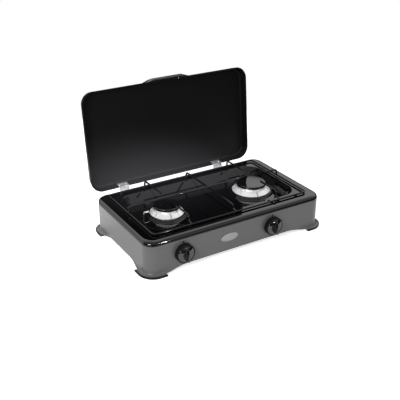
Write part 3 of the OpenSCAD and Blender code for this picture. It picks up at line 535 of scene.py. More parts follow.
@dataclass
class Casing:
    """The grey sheet surround with its four flared legs and foot strips."""

    width: float = 519.4
    depth: float = 299.4
    radius: float = 29.7
    top_z: float = 82.0
    rim: float = 2.0
    sheet: float = 1.0
    toe_out: float = 10.3
    toe_r: float = 8.0
    foot_h: float = 3.0
    arch_z: float = 13.5
    arch_step: float = 5.0
    arch_steps: int = 12
    arch_half_x: float = 150.0
    leg_half_x: float = 213.0
    arch_half_y: float = 48.0
    leg_half_y: float = 99.0
    hem_r: float = 1.6
    hem_up: float = 0.4
    hole_r: float = 7.0
    hole_y: Pair = (-160.0, -140.0)
    cutter_half: float = 400.0
    cutter_z: float = -20.0
    # The foot strip's section: its inner side, then places out from the toe's edge, with their heights.
    strip_in: float = 1.5
    strip_edge: Profile = ((0.9, 0.0), (1.5, 0.8), (1.5, 4.6), (0.9, 5.2), (-0.8, 5.2), (-0.8, 4.1),
                           (-0.1, 4.1), (-0.1, 2.95))

    def build(self) -> None:
        """Build the casing, its hems and the foot strips."""
        self.wall()
        self.hems()
        self.feet()

    def wall(self) -> None:
        """Press the surround from one sheet, from the toe's lip up, and cut its gaps and spindle holes."""
        piece = Bench("skirt")
        out = self.toe_out
        lip_z = self.foot_h + self.sheet
        piece.outline(self.width + 2 * out, self.depth + 2 * out, self.radius + out, lip_z)
        bend = arc(out - self.toe_r, lip_z + self.toe_r, self.toe_r, 270, 360, 8)
        piece.follow([(0.0, lip_z)] + bend + [(out, self.top_z - self.rim), (out, self.top_z)])
        piece.drop_face()
        piece.wall(self.sheet)
        half = self.cutter_half
        for cutter_line, along in (
                ([(x, -half, z) for x, z in self.gap_line(self.arch_half_x, self.leg_half_x)], (0, 2 * half, 0)),
                ([(-half, y, z) for y, z in self.gap_line(self.arch_half_y, self.leg_half_y)], (2 * half, 0, 0))):
            cutter = Bench("leg_gap")
            cutter.prism(cutter_line, along)
            piece.combine(cutter)
        start, end = self.hole_y
        for x in KNOB_X.values():
            drill = Bench("spindle_hole")
            rim = [(0.0, start), (self.hole_r, start), (self.hole_r, end), (0.0, end)]
            drill.lathe([(x + r, y, KNOB_Z) for r, y in rim], (x, 0, KNOB_Z), FRONT_AXIS)
            piece.combine(drill)
        piece.settle("stove", "lacquer_grey", ["skirt_casing"], flat=True)

    def gap_edge(self, half: float, leg: float) -> list[Pair]:
        """The lower edge between two legs, from left to right."""
        rise = []
        for i in range(self.arch_steps + 1):
            t = i / self.arch_steps
            drop = (self.arch_z - self.arch_step) * (1 - math.cos(math.pi * t)) / 2
            rise.append((half + (leg - half) * t, self.arch_z - drop))
        return [(-u, z) for u, z in reversed(rise)] + rise

    def gap_line(self, half: float, leg: float) -> list[Pair]:
        """The outline of the cutter between two legs."""
        return [(-leg, self.cutter_z)] + self.gap_edge(half, leg) + [(leg, self.cutter_z)]

    def hems(self) -> None:
        """Roll the lower edges between the legs inwards."""
        x = self.width / 2 - self.hem_r
        y = self.depth / 2 - self.hem_r
        wide = [(u, z + self.hem_up) for u, z in self.gap_edge(self.arch_half_x, self.leg_half_x)]
        deep = [(u, z + self.hem_up) for u, z in self.gap_edge(self.arch_half_y, self.leg_half_y)]
        lines = {"front": [(u, -y, z) for u, z in wide], "back": [(u, y, z) for u, z in wide],
                 "left": [(-x, u, z) for u, z in deep], "right": [(x, u, z) for u, z in deep]}
        for name, line in lines.items():
            piece = Bench("skirt_hem_" + name)
            piece.tube(line, self.hem_r)
            piece.settle("stove", "lacquer_grey")

    def feet(self) -> None:
        """Push a rubber strip on each leg's lip, drawn at the back right and mirrored."""
        section = [(self.strip_in, 0.0)] + [(self.toe_out + u, z) for u, z in self.strip_edge]
        section.append((self.strip_in, section[-1][1]))
        cx = self.width / 2 - self.radius
        cy = self.depth / 2 - self.radius
        for row, sy in (("front", -1), ("back", 1)):
            for side, sx in (("left", -1), ("right", 1)):
                piece = Bench(f"foot_strip_{row}_{side}")
                ends = [(self.leg_half_x, self.depth / 2 + u, z) for u, z in section]
                piece.block(ends, (cx - self.leg_half_x, 0, 0))
                bpy.ops.mesh.spin(steps=CORNER_STEPS, angle=math.pi / 2, center=(cx, cy, 0), axis=UP_AXIS)
                piece.extrude((0, self.leg_half_y - cy, 0))
                piece.clean()
                piece.place(Matrix.Diagonal((sx, sy, 1, 1)))
                piece.open()
                piece.clean()
                piece.round_edges(0.5, 2)
                piece.settle("stove", "rubber_black", [f"foot_{row}_{side}"])


@dataclass
class Hob:
    """The black pressed top with its rounded edge, sloping well and two bosses."""

    width: float = 520.0
    depth: float = 300.0
    radius: float = 30.0
    rim_z: float = 94.0
    edge_h: float = 12.0
    edge_r: float = 11.0
    sheet: float = 1.0
    well_w: float = 434.0
    well_d: float = 213.0
    well_y: float = 3.0
    well_r: float = 42.0
    well_deep: float = 27.0
    slope: float = 12.0
    lip_r: float = 3.0
    lip_gap: float = 0.3
    # Each boss: its middle along X, its radius and its hole's radius.
    bosses: tuple[Triple, ...] = (
        (BURNER_X["left"], 52.0, 24.3), (BURNER_X["right"], 60.0, 29.8))
    boss_h: float = 5.0
    boss_rise: float = 5.0
    boss_steps: int = 10
    # The strip under the top's edge is painted shade: a black band where the top meets the casing.
    shade_strip_h: float = 2.8
    shade_strip_out: float = 0.3
    shade_strip_low: float = 0.3
    shade_strip_edge: Pair = (0.2, 0.4)

    def build(self) -> None:
        """Press the top from one sheet and push on its edge the black strip that stands in for the shade under the
        edge.
        """
        self.shade_strip()
        piece = Bench("hob")
        low = self.rim_z - self.edge_h
        piece.outline(self.width, self.depth, self.radius, low)
        bend = [(self.edge_r + x, z) for x, z in arc(0, self.rim_z - self.edge_r, self.edge_r, 180, 90, 10)]
        piece.follow([(0.0, low)] + bend + [(self.edge_r + STRIP, self.rim_z)])
        piece.drop_face()
        floor = self.well(piece)
        for x, radius, hole in self.bosses:
            self.boss(piece, x, radius, hole, floor)
        piece.pick_rims(floor)
        bpy.ops.mesh.fill(use_beauty=True)
        piece.pick_rims(self.rim_z)
        bpy.ops.mesh.bridge_edge_loops()
        bpy.ops.mesh.select_mode(type="VERT")
        piece.clean()
        piece.wall(self.sheet)
        piece.settle("stove", "enamel_black", ["hob_top"])

    def shade_strip(self) -> None:
        """Push an enamelled strip on the top's lower edge: its black band is painted shade, standing in for the shade
        line between the top and the casing.
        """
        piece = Bench("hob_edge_shade_strip")
        low = self.rim_z - self.edge_h - self.shade_strip_low
        out = self.shade_strip_out
        edge_in, edge_down = self.shade_strip_edge
        piece.outline(self.width + 2 * out, self.depth + 2 * out, self.radius + out, low)
        piece.follow([(0.0, low), (0.0, low + self.shade_strip_h - edge_down), (edge_in, low + self.shade_strip_h)])
        piece.drop_face()
        piece.wall(out + edge_in)
        piece.settle("stove", "enamel_black")

    def well(self, piece: Bench) -> float:
        """Sink the well with rounded lip and foot.

        Args:
            piece: The hob's mesh.

        Returns:
            The floor's height.
        """
        floor = self.rim_z - self.well_deep
        tilt = math.degrees(math.atan2(self.well_deep, self.slope))
        r = self.lip_r
        setback = r * math.tan(math.radians(tilt / 2))
        lip = [(x, self.rim_z - r + z) for x, z in arc(0, 0, r, 90, 90 - tilt, 6)]
        foot = [(x, floor + r + z) for x, z in arc(0, 0, r, 270 - tilt, 270, 6)]
        shift = self.slope - foot[-1][0] + setback
        foot = [(x + shift, z) for x, z in foot]
        piece.outline(self.well_w + 2 * r, self.well_d + 2 * r, self.well_r + r, self.rim_z, self.well_y)
        start = r - setback
        profile = [(0.0, self.rim_z), (start - self.lip_gap, self.rim_z)] + [(start + x, z) for x, z in lip]
        profile += [(r + x, z) for x, z in foot] + [(r + foot[-1][0] + STRIP, floor)]
        piece.follow(profile)
        piece.drop_face()
        return floor

    def boss(self, piece: Bench, x: float, radius: float, hole: float, floor: float) -> None:
        """Raise one burner's boss from the floor, with a hole for the burner's throat."""
        piece.disc((x, BURNER_Y, floor), radius + STRIP)
        rise = []
        for i in range(self.boss_steps + 1):
            t = i / self.boss_steps
            rise.append((STRIP + self.boss_rise * t, floor + self.boss_h * (1 - math.cos(math.pi * t)) / 2))
        piece.follow([(0.0, floor)] + rise + [(STRIP + self.boss_rise + STRIP, floor + self.boss_h)])
        piece.step(radius - self.boss_rise - STRIP - hole, 0.0)
        piece.drop_face()


@dataclass
class PanSupport:
    """The wire frame over the well with its prongs, cross wire and long wire."""

    wire_r: float = 2.5
    width: float = 455.0
    depth: float = 250.0
    radius: float = 10.0
    y: float = 3.0
    frame_z: float = 98.0
    prong_z: float = 114.5
    cross_z: float = 109.9
    bend: float = 9.0
    bend_steps: int = 10
    cross_x: float = 7.0
    # Each burner's place along X and how far the prongs end from its middle.
    burners: tuple[Pair, ...] = ((BURNER_X["left"], 33.0), (BURNER_X["right"], 45.0))
    front_lead: float = 17.0
    weld: float = 0.4
    end_r: float = 1.6
    end_steps: int = 4
    end_angle: float = 60.0

    def build(self) -> None:
        """Bend and weld the wires."""
        self.frame()
        self.prongs()
        self.cross()
        self.long_wire()

    def frame(self) -> None:
        """Bend the outer frame."""
        line: list[Point] = []
        for sx, sy, start in ((1, -1, 270), (1, 1, 0), (-1, 1, 90), (-1, -1, 180)):
            cx = sx * (self.width / 2 - self.radius)
            cy = self.y + sy * (self.depth / 2 - self.radius)
            corner = arc(cx, cy, self.radius, start, start + 90, self.bend_steps)
            line += [(x, y, self.frame_z) for x, y in corner]
        piece = Bench("pan_frame_wire")
        piece.tube(line, self.wire_r, closed=True)
        piece.settle("stove", "wire_black", ["pan_frame"])

    def rise(self, foot: Point, inward: Vector, top: float) -> list[Point]:
        """The line of a wire that rises from the frame and bends inwards, without its run.

        Args:
            foot: The place on the frame.
            inward: The direction of the run; from the front it first leads in along the rim.
            top: The height of the run.

        Returns:
            The wire's middle line.
        """
        steps = self.bend_steps
        hold = self.wire_r - self.weld
        places = [(0.0, self.frame_z + hold)] + arc(self.bend, top - self.bend, self.bend, 180, 90, steps)
        if inward.y > 0.5:
            turn = (top - self.frame_z) / 2
            middle = self.frame_z + turn
            places = [(hold, self.frame_z)] + arc(self.front_lead - turn, middle, turn, 270, 360, steps)
            places += arc(self.front_lead + turn, middle, turn, 180, 90, steps)[1:]
        base = Vector((foot[0], foot[1], 0))
        return [base + inward * x + Vector((0, 0, z)) for x, z in places]

    def prongs(self) -> None:
        """Bend the six prongs that carry the pans, and round their ends."""
        pieces = []
        back = self.y + self.depth / 2
        front = self.y - self.depth / 2
        for x, gap in self.burners:
            side = -1 if x < 0 else 1
            outer = self.width / 2
            wires = (((x, back), Vector((0, -1, 0)), back - BURNER_Y - gap),
                     ((x, front), Vector((0, 1, 0)), BURNER_Y - front - gap),
                     ((side * outer, BURNER_Y), Vector((-side, 0, 0)), outer - abs(x) - gap))
            for foot, inward, run in wires:
                line = self.rise(foot, inward, self.prong_z)
                line.append(Vector((*foot, self.prong_z)) + inward * (run + self.wire_r))
                pieces.append(self.rod("prong", line))
        self.join(pieces, "pan_prong_wires").settle("stove", "wire_black", ["pan_prongs"])

    def rod(self, name: str, line: Sequence[Point]) -> Bench:
        """Make a wire with rounded ends."""
        piece = Bench(name)
        piece.tube(line, self.wire_r)
        piece.round_edges(self.end_r, self.end_steps, self.end_angle)
        return piece

    def join(self, pieces: list[Bench], name: str) -> Bench:
        """Join several wires into one piece."""
        bpy.ops.object.select_all(action="DESELECT")
        for piece in pieces:
            piece.obj.select_set(True)
        bpy.context.view_layer.objects.active = pieces[0].obj
        bpy.ops.object.join()
        pieces[0].obj.name = pieces[0].obj.data.name = name
        return pieces[0]

    def cross(self) -> None:
        """Bend the cross wire."""
        front = self.rise((self.cross_x, self.y - self.depth / 2), Vector((0, 1, 0)), self.cross_z)
        back = self.rise((self.cross_x, self.y + self.depth / 2), Vector((0, -1, 0)), self.cross_z)
        piece = Bench("pan_cross_wire_bent")
        piece.tube(front + back[::-1], self.wire_r)
        piece.settle("stove", "wire_black", ["pan_cross_wire"])

    def long_wire(self) -> None:
        """Lay the long wire between the burners."""
        (left_x, left_gap), (right_x, right_gap) = self.burners
        ends = (left_x + left_gap - self.wire_r, 0, right_x - right_gap + self.wire_r)
        piece = self.rod("pan_long_wire_straight", [(x, BURNER_Y, self.prong_z) for x in ends])
        piece.settle("stove", "wire_black", ["pan_long_wire"])


@dataclass
class Burner:
    """One burner: its slotted crown and its cap."""

    side: str
    x: float
    crown_r: float
    cap_r: float
    ports: int
    y: float = BURNER_Y
    boss_z: float = 72.0
    crown_h: float = 17.5
    base_h: float = 2.6
    base_in: float = 3.0
    lip: float = 0.9
    land_in: float = 3.0
    seat_in: float = 7.0
    throat_in: float = 10.2
    floor_t: float = 3.0
    port_w: float = 1.6
    port_h: float = 4.5
    groove_w: float = 2.8
    grooves: int = 6
    groove_turn: float = 0.28
    cap_h: float = 8.0
    cap_edge: float = 2.8
    plug_h: float = 3.0
    plug_gap: float = 0.3

    def build(self) -> None:
        """Build the crown and the cap."""
        self.crown()
        self.cap()

    def turned(self, name: str, profile: Profile) -> Bench:
        """Turn a profile of radius and height round the burner's axis."""
        piece = Bench(name)
        piece.lathe([(self.x + r, self.y, z) for r, z in profile], (self.x, self.y, 0), UP_AXIS)
        return piece

    def crown(self) -> None:
        """Turn the crown and cut its flame ports and grooves."""
        top = self.boss_z + self.crown_h
        floor = self.boss_z + self.floor_t
        throat = self.cap_r - self.throat_in
        seat = self.cap_r - self.seat_in
        land = self.cap_r - self.land_in
        base = self.crown_r - self.base_in
        flange = self.boss_z + self.base_h
        lip = flange + self.lip
        outer = [(base, self.boss_z), (base, flange), (self.crown_r, flange + 0.3), (self.crown_r, lip),
                 (self.cap_r - 0.4, top - self.port_h - 1.5), (land + 0.6, top - 0.4), (land, top), (seat, top),
                 (seat, floor), (throat, floor), (throat, self.boss_z)]
        piece = self.turned(f"crown_{self.side}", outer + outer[:1])
        piece.combine(self.slots(self.ports, self.port_w, seat - 1, top - self.port_h + 1, 10.0, 0.0))
        piece.combine(self.slots(self.grooves, self.groove_w, land, lip, 20.0, self.groove_turn))
        piece.settle("stove", "polished_aluminium", [f"burner_crown_{self.side}"], smooth=30)

    def slots(self, count: int, width: float, start: float, z: float, height: float, offset: float) -> Bench:
        """Make a ring of radial cutters.

        Args:
            count: How many.
            width: Width of each.
            start: Radius at which they start.
            z: Height at which they start.
            height: Their height.
            offset: First angle, in parts of their pitch.

        Returns:
            The cutters as one piece.
        """
        cutter = Bench("slots")
        middle = Vector((self.x, self.y, z))
        far = self.crown_r + 6
        for i in range(count):
            turn = math.tau * (i + offset) / count
            out = Vector((math.cos(turn), math.sin(turn), 0))
            side = Vector((-math.sin(turn), math.cos(turn), 0)) * width / 2
            corners = [middle + out * start - side, middle + out * far - side,
                       middle + out * far + side, middle + out * start + side]
            cutter.block(corners, (0, 0, height))
        cutter.clean()
        return cutter

    def cap(self) -> None:
        """Turn the enamelled cap with its rounded edge."""
        z = self.boss_z + self.crown_h
        top = z + self.cap_h
        plug = self.cap_r - self.seat_in - self.plug_gap
        profile = [(0.0, z - self.plug_h), (plug, z - self.plug_h), (plug, z), (self.cap_r - 1, z), (self.cap_r, z + 1)]
        profile += arc(self.cap_r - self.cap_edge, top - 1 - self.cap_edge, self.cap_edge, 0, 84, 8)
        profile += [(self.cap_r * 0.5, top - 0.25), (0.0, top)]
        self.turned(f"cap_{self.side}", profile).settle("stove", "enamel_black", [f"burner_cap_{self.side}"])


@dataclass
class FlameSensor:
    """One flame sensor: a bright tip that lies towards the crown on an upright leg."""

    side: str
    foot: Pair
    inward: Pair
    low_z: float = 52.0
    tip_z: float = 81.0
    bend: float = 5.0
    leg_r: float = 1.8
    tip_r: float = 2.5
    tip_start: float = 1.0
    reach: float = 15.5

    def build(self) -> None:
        """Bend the leg and push the tip on it."""
        base = Vector((*self.foot, 0))
        way = Vector((*self.inward, 0))
        places = [(0.0, self.low_z)] + arc(self.bend, self.tip_z - self.bend, self.bend, 180, 90, 8)
        leg = Bench(f"sensor_leg_{self.side}")
        leg.tube([base + way * x + Vector((0, 0, z)) for x, z in places], self.leg_r)
        leg.settle("stove", "steel", [f"flame_sensor_{self.side}"])
        tip = Bench(f"sensor_tip_{self.side}")
        ends = (self.tip_start, self.reach / 2, self.reach)
        tip.tube([base + way * x + Vector((0, 0, self.tip_z)) for x in ends], self.tip_r)
        tip.round_edges(0.9, 3, 60)
        tip.settle("stove", "chrome")


@dataclass
class Knob:
    """One control knob: a thick round body, a domed brow over its upper part and a finger bar below."""

    side: str
    x: float
    z: float = KNOB_Z
    back_y: float = -153.8
    radius: float = 22.0
    body_t: float = 8.5
    body_edge: float = 1.5
    body_foot: float = 0.6
    dish: float = 0.7
    brow_low: float = 3.0
    brow_in: float = 1.0
    brow_edge: float = 10.5
    brow_t: float = 16.5
    brow_z: float = 8.5
    scoop_half: float = 40.0
    scoop_start: float = 5.0
    scoop_deep: float = 50.0
    bar_half: float = 3.9
    bar_end: float = 16.5
    bar_start: float = 4.0
    bar_over: float = 6.0
    depth: float = 22.5
    # A dull black ring round the knob, whose dark outline is partly painted shade of the knob on the casing.
    dark_ring_r: float = 24.6
    dark_ring_gap: float = 0.5
    dark_ring_t: float = 12.4
    dark_ring_edge: float = 0.5

    def build(self) -> None:
        """Mould the knob and the dull black ring round it, whose dark outline is partly painted shade of the knob on
        the casing.
        """
        self.dark_ring()
        body = [(0.0, 0.0), (self.radius - self.body_foot, 0.0), (self.radius, self.body_foot)]
        body += arc(self.radius - self.body_edge, self.body_t - self.body_edge, self.body_edge, 0, 80, 5)
        piece = self.turned(f"control_knob_{self.side}", body + [(0.0, self.body_t + self.dish)], self.back_y)
        piece.combine(self.brow(), "UNION")
        piece.combine(self.bar(), "UNION")
        piece.settle(f"{self.side}_knob", "knob_black", [f"knob_{self.side}"], smooth=40)

    def turned(self, name: str, profile: Profile, y: float) -> Bench:
        """Turn a profile of radius and depth, in front of a place along Y, round the knob's axis."""
        piece = Bench(name)
        piece.lathe([(self.x + r, y - d, self.z) for r, d in profile], (self.x, 0, self.z), FRONT_AXIS)
        return piece

    def dark_ring(self) -> None:
        """Mould the dull black ring on the casing round the knob; its dark outline is partly painted shade, standing in
        for the knob's shade on the casing.
        """
        inner = self.radius + self.dark_ring_gap
        middle = (inner + self.dark_ring_r) / 2
        edge = self.dark_ring_t - self.dark_ring_edge
        ring = [(inner, 0.0), (self.dark_ring_r, 0.0), (self.dark_ring_r, edge), (middle, self.dark_ring_t), (inner, edge),
                (inner, 0.0)]
        self.turned(f"knob_dark_ring_{self.side}", ring, FACE_Y).settle("stove", "rubber_black")

    def brow(self) -> Bench:
        """Turn the dome and keep its upper part.

        Returns:
            The brow.
        """
        edge = self.radius - self.brow_in
        rise = self.brow_t - self.brow_edge
        ball = (edge ** 2 + rise ** 2) / (2 * rise)
        crest = math.degrees(math.asin(edge / ball))
        dome = [(0.0, self.brow_low), (edge, self.brow_low)]
        brow = self.turned("brow", dome + arc(0.0, self.brow_t - ball, ball, 90 - crest, 90, 12), self.back_y)
        scoop = Bench("scoop")
        half = self.scoop_half
        line = [(-half, -half), (half, -half), (half, self.brow_z), (-half, self.brow_z)]
        start = self.back_y + self.scoop_start
        scoop.prism([(self.x + u, start, self.z + v) for u, v in line], (0, -self.scoop_deep, 0))
        brow.combine(scoop)
        brow.round_edges(1.1, 4, 30)
        return brow

    def bar(self) -> Bench:
        """Mould the finger bar, with a round lower end.

        Returns:
            The bar.
        """
        half = self.bar_half
        top = self.brow_z + self.bar_over
        line = arc(0.0, half - self.bar_end, half, 180, 360, 12) + [(half, top), (-half, top)]
        start = self.back_y - self.bar_start
        bar = Bench("bar")
        bar.prism([(self.x + u, start, self.z + v) for u, v in line], (0, self.bar_start - self.depth, 0))
        bar.pick_verts(lambda p: p.y < start - 1 and p.z > self.z + self.brow_z)
        bpy.ops.transform.translate(value=(0, self.depth - self.brow_t + 1, 0))
        bar.round_edges(1.0, 3, 50)
        return bar


@dataclass
class ReturnSpring:
    """One tap's return spring, which shortens as its knob is pushed."""

    side: str
    x: float
    z: float = KNOB_Z
    seat_y: float = -134.0
    length: float = 7.0
    travel: float = 3.0
    wire_r: float = 0.45
    coil_r: float = 4.7
    turns: int = 3
    turn_steps: int = 24
    gap: float = 0.05

    def build(self) -> None:
        """Wind the spring between the tap and the washer."""
        steps = self.turn_steps * self.turns
        start = self.seat_y - self.wire_r - self.gap
        lift = self.length - 2 * (self.wire_r + self.gap)
        line = []
        for i in range(steps + 1):
            turn = math.tau * self.turns * i / steps
            x, z = self.x + self.coil_r * math.cos(turn), self.z + self.coil_r * math.sin(turn)
            line.append((x, start - lift * i / steps, z))
        piece = Bench(f"tap_spring_{self.side}")
        piece.tube(line, self.wire_r)
        spring = piece.settle("stove", "steel", [f"return_spring_{self.side}"])
        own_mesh(spring)


@dataclass
class Lid:
    """The black tray lid with its finger grip, drawn closed and turned open."""

    width: float = 498.0
    depth: float = 265.0
    radius: float = 31.0
    y: float = 8.5
    top_z: float = 120.0
    height: float = 24.0
    flare: float = 4.0
    bend: float = 6.0
    sheet: float = 0.9
    open_deg: float = 95.4
    axis: Pair = (158.0, 74.0)
    hinge_x: Pair = (-158.0, 144.0)
    hinge_w: float = 29.0
    hinge_gap: float = 1.5
    notch_z: float = 99.0
    notch_in: float = 6.0
    notch_below: float = 5.0
    notch_deep: float = 30.0
    grip_w: float = 146.0
    grip_out: float = 6.0
    grip_slope: float = 28.0
    grip_z: float = 94.6
    grip_edge: float = 2.5

    def build(self) -> None:
        """Press the tray and mould the grip."""
        self.tray()
        self.grip()

    def opened(self) -> Matrix:
        """The turn from the closed place to the open one."""
        middle = Matrix.Translation((0, *self.axis))
        return middle @ Matrix.Rotation(math.radians(-self.open_deg), 4, "X") @ middle.inverted()

    def tray(self) -> None:
        """Press the tray from its free edge up, and notch it for the hinges."""
        piece = Bench("lid_tray")
        low = self.top_z - self.height
        grow = self.flare
        piece.outline(self.width + 2 * grow, self.depth + 2 * grow, self.radius + grow, low, self.y)
        bend = [(grow + self.bend + x, z) for x, z in arc(0, self.top_z - self.bend, self.bend, 180, 90, 8)]
        piece.follow([(0.0, low)] + bend + [(grow + self.bend + STRIP, self.top_z)])
        piece.wall(self.sheet)
        half = self.hinge_w / 2 + self.hinge_gap
        start = self.y + self.depth / 2 - self.notch_in
        bottom = low - self.notch_below
        for x in self.hinge_x:
            notch = Bench("notch")
            line = [(x - half, bottom), (x + half, bottom), (x + half, self.notch_z), (x - half, self.notch_z)]
            notch.prism([(u, start, z) for u, z in line], (0, self.notch_deep, 0))
            piece.combine(notch)
        piece.settle("lid", "lid_lacquer", ["lid_panel"], self.opened())

    def grip(self) -> None:
        """Mould the finger grip on the front flange."""
        front = self.y - self.depth / 2
        out = front - self.flare - self.grip_out
        z0, z1 = self.top_z - self.height + 1, self.top_z - self.bend
        lean = self.flare / (self.height - self.bend) * (z1 - z0)
        section = [(front - 0.1, z1), (front - 0.1 - lean, z0), (front - 2.1 - lean, self.grip_z),
                   (out + self.grip_edge, self.grip_z), (out, self.grip_z + self.grip_edge), (out, z1 - 6),
                   (out + 4, z1)]
        piece = Bench("lid_finger_grip")
        half = self.grip_w / 2
        piece.prism([(-half, y, z) for y, z in section], (self.grip_w, 0, 0))
        for y in sorted({y for y, _ in section}):
            narrow = self.grip_slope * min(1.0, (front - y) / (front - out))
            piece.pick_verts(lambda p: abs(p.y - y) < 2 * NEAR)
            piece.stretch(((half - narrow) / half, 1, 1), (0, y, 0))
        piece.round_edges(1.6, 4, 20)
        piece.settle("lid", "knob_black", ["lid_grip"], self.opened())


@dataclass
class FrontTrim:
    """The bare oval plate and the two index marks on the front."""

    plate_x: float = -32.0
    plate_z: float = 50.0
    plate_w: float = 50.0
    plate_h: float = 22.0
    # Steps from the plate's edge to its sunken middle, and from a mark's edge to its top: inward and up.
    plate_steps: Profile = ((0.0, 0.6), (0.4, 0.2), (1.4, 0.0), (0.4, -0.3), (0.6, 0.0))
    mark_steps: Profile = ((0.0, 0.12), (0.2, 0.05))
    mark_z: float = 74.0
    mark_r: float = 1.7
    mark_tall: float = 1.9

    def build(self) -> None:
        """Press the plate and print the marks."""
        plate = self.oval("bare_plate", 0.5, (self.plate_w, self.plate_h, 1), self.plate_steps)
        plate.settle("stove", "plate_aluminium", ["name_plate"], self.upright(self.plate_x, self.plate_z))
        for side, x in KNOB_X.items():
            mark = self.oval(f"index_mark_{side}", self.mark_r, (1, self.mark_tall, 1), self.mark_steps)
            mark.settle("stove", "rubber_black", (), self.upright(x, self.mark_z))

    def oval(self, name: str, radius: float, stretch: Point, steps: Profile) -> Bench:
        """Make a flat oval piece from a stretched disc, stepped inward and up."""
        piece = Bench(name)
        piece.disc((0, 0, 0), radius)
        piece.stretch(stretch)
        for inward, up in steps:
            piece.step(inward, up)
        return piece

    def upright(self, x: float, z: float) -> Matrix:
        """Stand a flat piece up against the front at a place."""
        return Matrix.Translation((x, FACE_Y, z)) @ Matrix.Rotation(math.pi / 2, 4, "X")


@dataclass(frozen=True)
class SoftBox:
    """One soft box: its place and size in metres, its power in watts and whether glossy pieces show it."""

    name: str
    at: Triple
    size: Pair
    power: float
    mirrored: bool = True


@dataclass(frozen=True)
class Patch:
    """A soft-edged area of the room: its direction, the span of its edge and the levels outside and inside."""

    way: Triple
    span: Pair
    level: Pair

    def draw(self, tree: Tree, where: Socket) -> Socket:
        """Give the patch's level by direction."""
        return ramp(tree, calc_vector(tree, "DOT_PRODUCT", where, self.way), self.span, self.level)


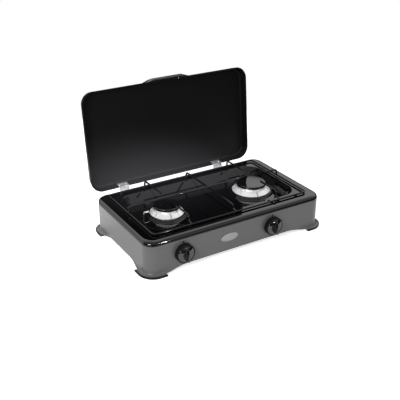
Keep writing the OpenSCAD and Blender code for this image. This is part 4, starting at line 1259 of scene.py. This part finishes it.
@dataclass
class Studio:
    """Floor, lamps, world and camera, in metres."""

    camera_at: Triple = (-0.87858, -1.42356, 0.89518)
    azimuth: float = -31.436
    elevation: float = 26.325
    roll: float = 0.1
    sensor: float = 36.0
    lens: float = 62.6
    # The floor's paper fades to black between two radii, except to the eye, and glows for eye and mirrors.
    floor_r: float = 0.95
    floor_z: float = -0.0002
    floor_fade: Pair = (0.4, 0.85)
    floor_far: float = 0.04
    floor_glow: float = 0.45
    floor_eye: float = 0.17
    # The room is dark at the horizon, bright behind the stove and dimmer overhead, with a wall and a paper.
    horizon: Pair = (0.05, 0.6)
    back: Patch = Patch((0.5, 0.87, 0.0), (-0.2, 0.5), (0.45, 1.4))
    zenith: Pair = (0.6, 0.9)
    zenith_level: float = 0.5
    wall: Patch = Patch((0.47, -0.84, 0.27), (0.88, 0.97), (0.0, 0.3))
    wall_foot: Pair = (0.14, 0.24)
    paper: Patch = Patch((-0.64, 0.76, 0.05), (0.85, 0.95), (0.0, 1.0))
    boxes: tuple[SoftBox, ...] = (
        SoftBox("left_box", (-1.6, -1.0, 1.45), (0.42, 0.42), 16.0, False),
        SoftBox("left_strip", (-1.79, -1.16, 0.86), (0.8, 0.15), 19.0),
        SoftBox("front_bulb", (0.525, -1.945, 0.76), (0.042, 0.06), 2.9),
    )
    box_aim: Triple = (0.0, 0.0, 0.08)
    # A wide, flat pool of light on the lid's foot.
    spot_at: Triple = (-0.6, -1.6, 1.35)
    spot_aim: Triple = (-0.05, 0.115, 0.085)
    spot_angle: float = 5.6
    spot_power: float = 2300.0
    spot_soft: float = 0.08
    spot_stretch: Triple = (3.0, 1.0, 1.0)

    def build(self) -> None:
        """Set up the studio."""
        bpy.context.scene.view_settings.view_transform = "Standard"
        self.camera()
        self.floor()
        self.world()
        for box in self.boxes:
            data = bpy.data.lights.new(box.name, "AREA")
            data.shape = "RECTANGLE"
            data.size, data.size_y = box.size
            data.energy = box.power
            self.hang(data, box.at, self.box_aim, box.mirrored)
        self.spot()

    def camera(self) -> None:
        """Stand the camera where the photographer's stood."""
        data = bpy.data.cameras.new("camera")
        data.sensor_width = self.sensor
        data.lens = self.lens
        camera = bpy.data.objects.new("camera", data)
        camera.location = self.camera_at
        camera.rotation_euler = (math.radians(90 - self.elevation), 0.0, math.radians(self.azimuth))
        camera.rotation_euler.rotate_axis("Z", math.radians(self.roll))
        bpy.context.scene.collection.objects.link(camera)
        bpy.context.scene.camera = camera

    def floor(self) -> None:
        """Lay a round white floor that keeps the stove's soft shadow."""
        bpy.ops.object.select_all(action="DESELECT")
        bpy.ops.mesh.primitive_circle_add(vertices=SIDES, radius=self.floor_r, fill_type="NGON",
                                          location=(0, 0, self.floor_z))
        floor = bpy.context.object
        floor.name = "floor"
        material = bpy.data.materials.new("floor_paper")
        tree = blank_tree(material)
        path = add_node(tree, "LightPath")
        eye = path.outputs["Is Camera Ray"]
        where = add_node(tree, "TexCoord").outputs["Object"]
        near = ramp(tree, calc_vector(tree, "LENGTH", where), self.floor_fade, (1.0, self.floor_far))
        lit = calc(tree, "MAXIMUM", eye, near)
        seen = calc(tree, "MAXIMUM", eye, path.outputs["Is Glossy Ray"])
        level = calc(tree, "MULTIPLY_ADD", eye, self.floor_eye, self.floor_glow)
        glow = calc(tree, "MULTIPLY", calc(tree, "MULTIPLY", seen, lit), level)
        tone = blend(tree, lit, "#000000", "#f4f4f4")
        paper = add_node(tree, "BsdfDiffuse", None, Color=tone)
        light = add_node(tree, "Emission", None, Color=WHITE, Strength=glow)
        both = add_node(tree, "AddShader", None, i0=paper.outputs[0], i1=light.outputs[0])
        add_node(tree, "OutputMaterial", None, Surface=both.outputs[0])
        floor.data.materials.append(material)

    def world(self) -> None:
        """White backdrop for the eye, and a soft room, darker low in front, for light and reflections."""
        world = bpy.data.worlds.new("studio")
        bpy.context.scene.world = world
        tree = blank_tree(world)
        where = add_node(tree, "TexCoord").outputs["Generated"]
        height = add_node(tree, "SeparateXYZ", None, Vector=where).outputs["Z"]
        sides = calc(tree, "MULTIPLY", ramp(tree, height, self.horizon), self.back.draw(tree, where))
        top = ramp(tree, height, self.zenith, (0.0, self.zenith_level))
        wall = calc(tree, "MULTIPLY", self.wall.draw(tree, where), ramp(tree, height, self.wall_foot))
        level = calc(tree, "ADD", calc(tree, "MAXIMUM", sides, top), wall)
        level = calc(tree, "MAXIMUM", level, self.paper.draw(tree, where))
        eye = add_node(tree, "LightPath").outputs["Is Camera Ray"]
        room = add_node(tree, "Background", None, Color=WHITE, Strength=level)
        white = add_node(tree, "Background", None, Color=WHITE, Strength=1.0)
        mix = add_node(tree, "MixShader", None, i0=eye, i1=room.outputs[0], i2=white.outputs[0])
        add_node(tree, "OutputWorld", None, Surface=mix.outputs[0])

    def spot(self) -> None:
        """Hang the soft-edged spot that lights the lid's foot."""
        data = bpy.data.lights.new("lid_foot_spot", "SPOT")
        data.spot_size = math.radians(self.spot_angle)
        data.spot_blend = 1.0
        data.shadow_soft_size = self.spot_soft
        data.energy = self.spot_power
        self.hang(data, self.spot_at, self.spot_aim, False).scale = self.spot_stretch

    def hang(self, data: bpy.types.Light, at: Point, aim: Point, mirrored: bool) -> bpy.types.Object:
        """Hang a lamp.

        Args:
            data: The light.
            at: Where it hangs.
            aim: Where it points.
            mirrored: Whether glossy pieces show it.

        Returns:
            The lamp.
        """
        lamp = bpy.data.objects.new(data.name, data)
        lamp.location = at
        lamp.visible_glossy = mirrored
        lamp.rotation_euler = (Vector(aim) - Vector(at)).to_track_quat("-Z", "Y").to_euler()
        bpy.context.scene.collection.objects.link(lamp)
        return lamp


def dress_cad_nodes() -> None:
    """Give every CAD node that still shows the finish of its slot."""
    for part in frame["record"]["subparts"]:
        node = frame["nodes"][part["node"]]
        node.data.materials.clear()
        node.data.materials.append(finish_of(part["material_slot"]))


def main() -> None:
    """Build the stove's looks piece by piece."""
    logging.basicConfig(level=logging.INFO, format="%(name)s: %(message)s")
    Studio().build()
    dress_cad_nodes()
    Casing().build()
    Hob().build()
    PanSupport().build()
    Burner("left", BURNER_X["left"], 44.0, 34.5, 20).build()
    Burner("right", BURNER_X["right"], 52.0, 40.0, 24).build()
    FlameSensor("left", (-182.0, 21.0), (1.0, 0.0)).build()
    FlameSensor("right", (142.0, 75.0), (0.0, -1.0)).build()
    for side, x in KNOB_X.items():
        Knob(side, x).build()
    for side, x in KNOB_X.items():
        ReturnSpring(side, x).build()
    Lid().build()
    FrontTrim().build()


if __name__ == "__main__":
    main()
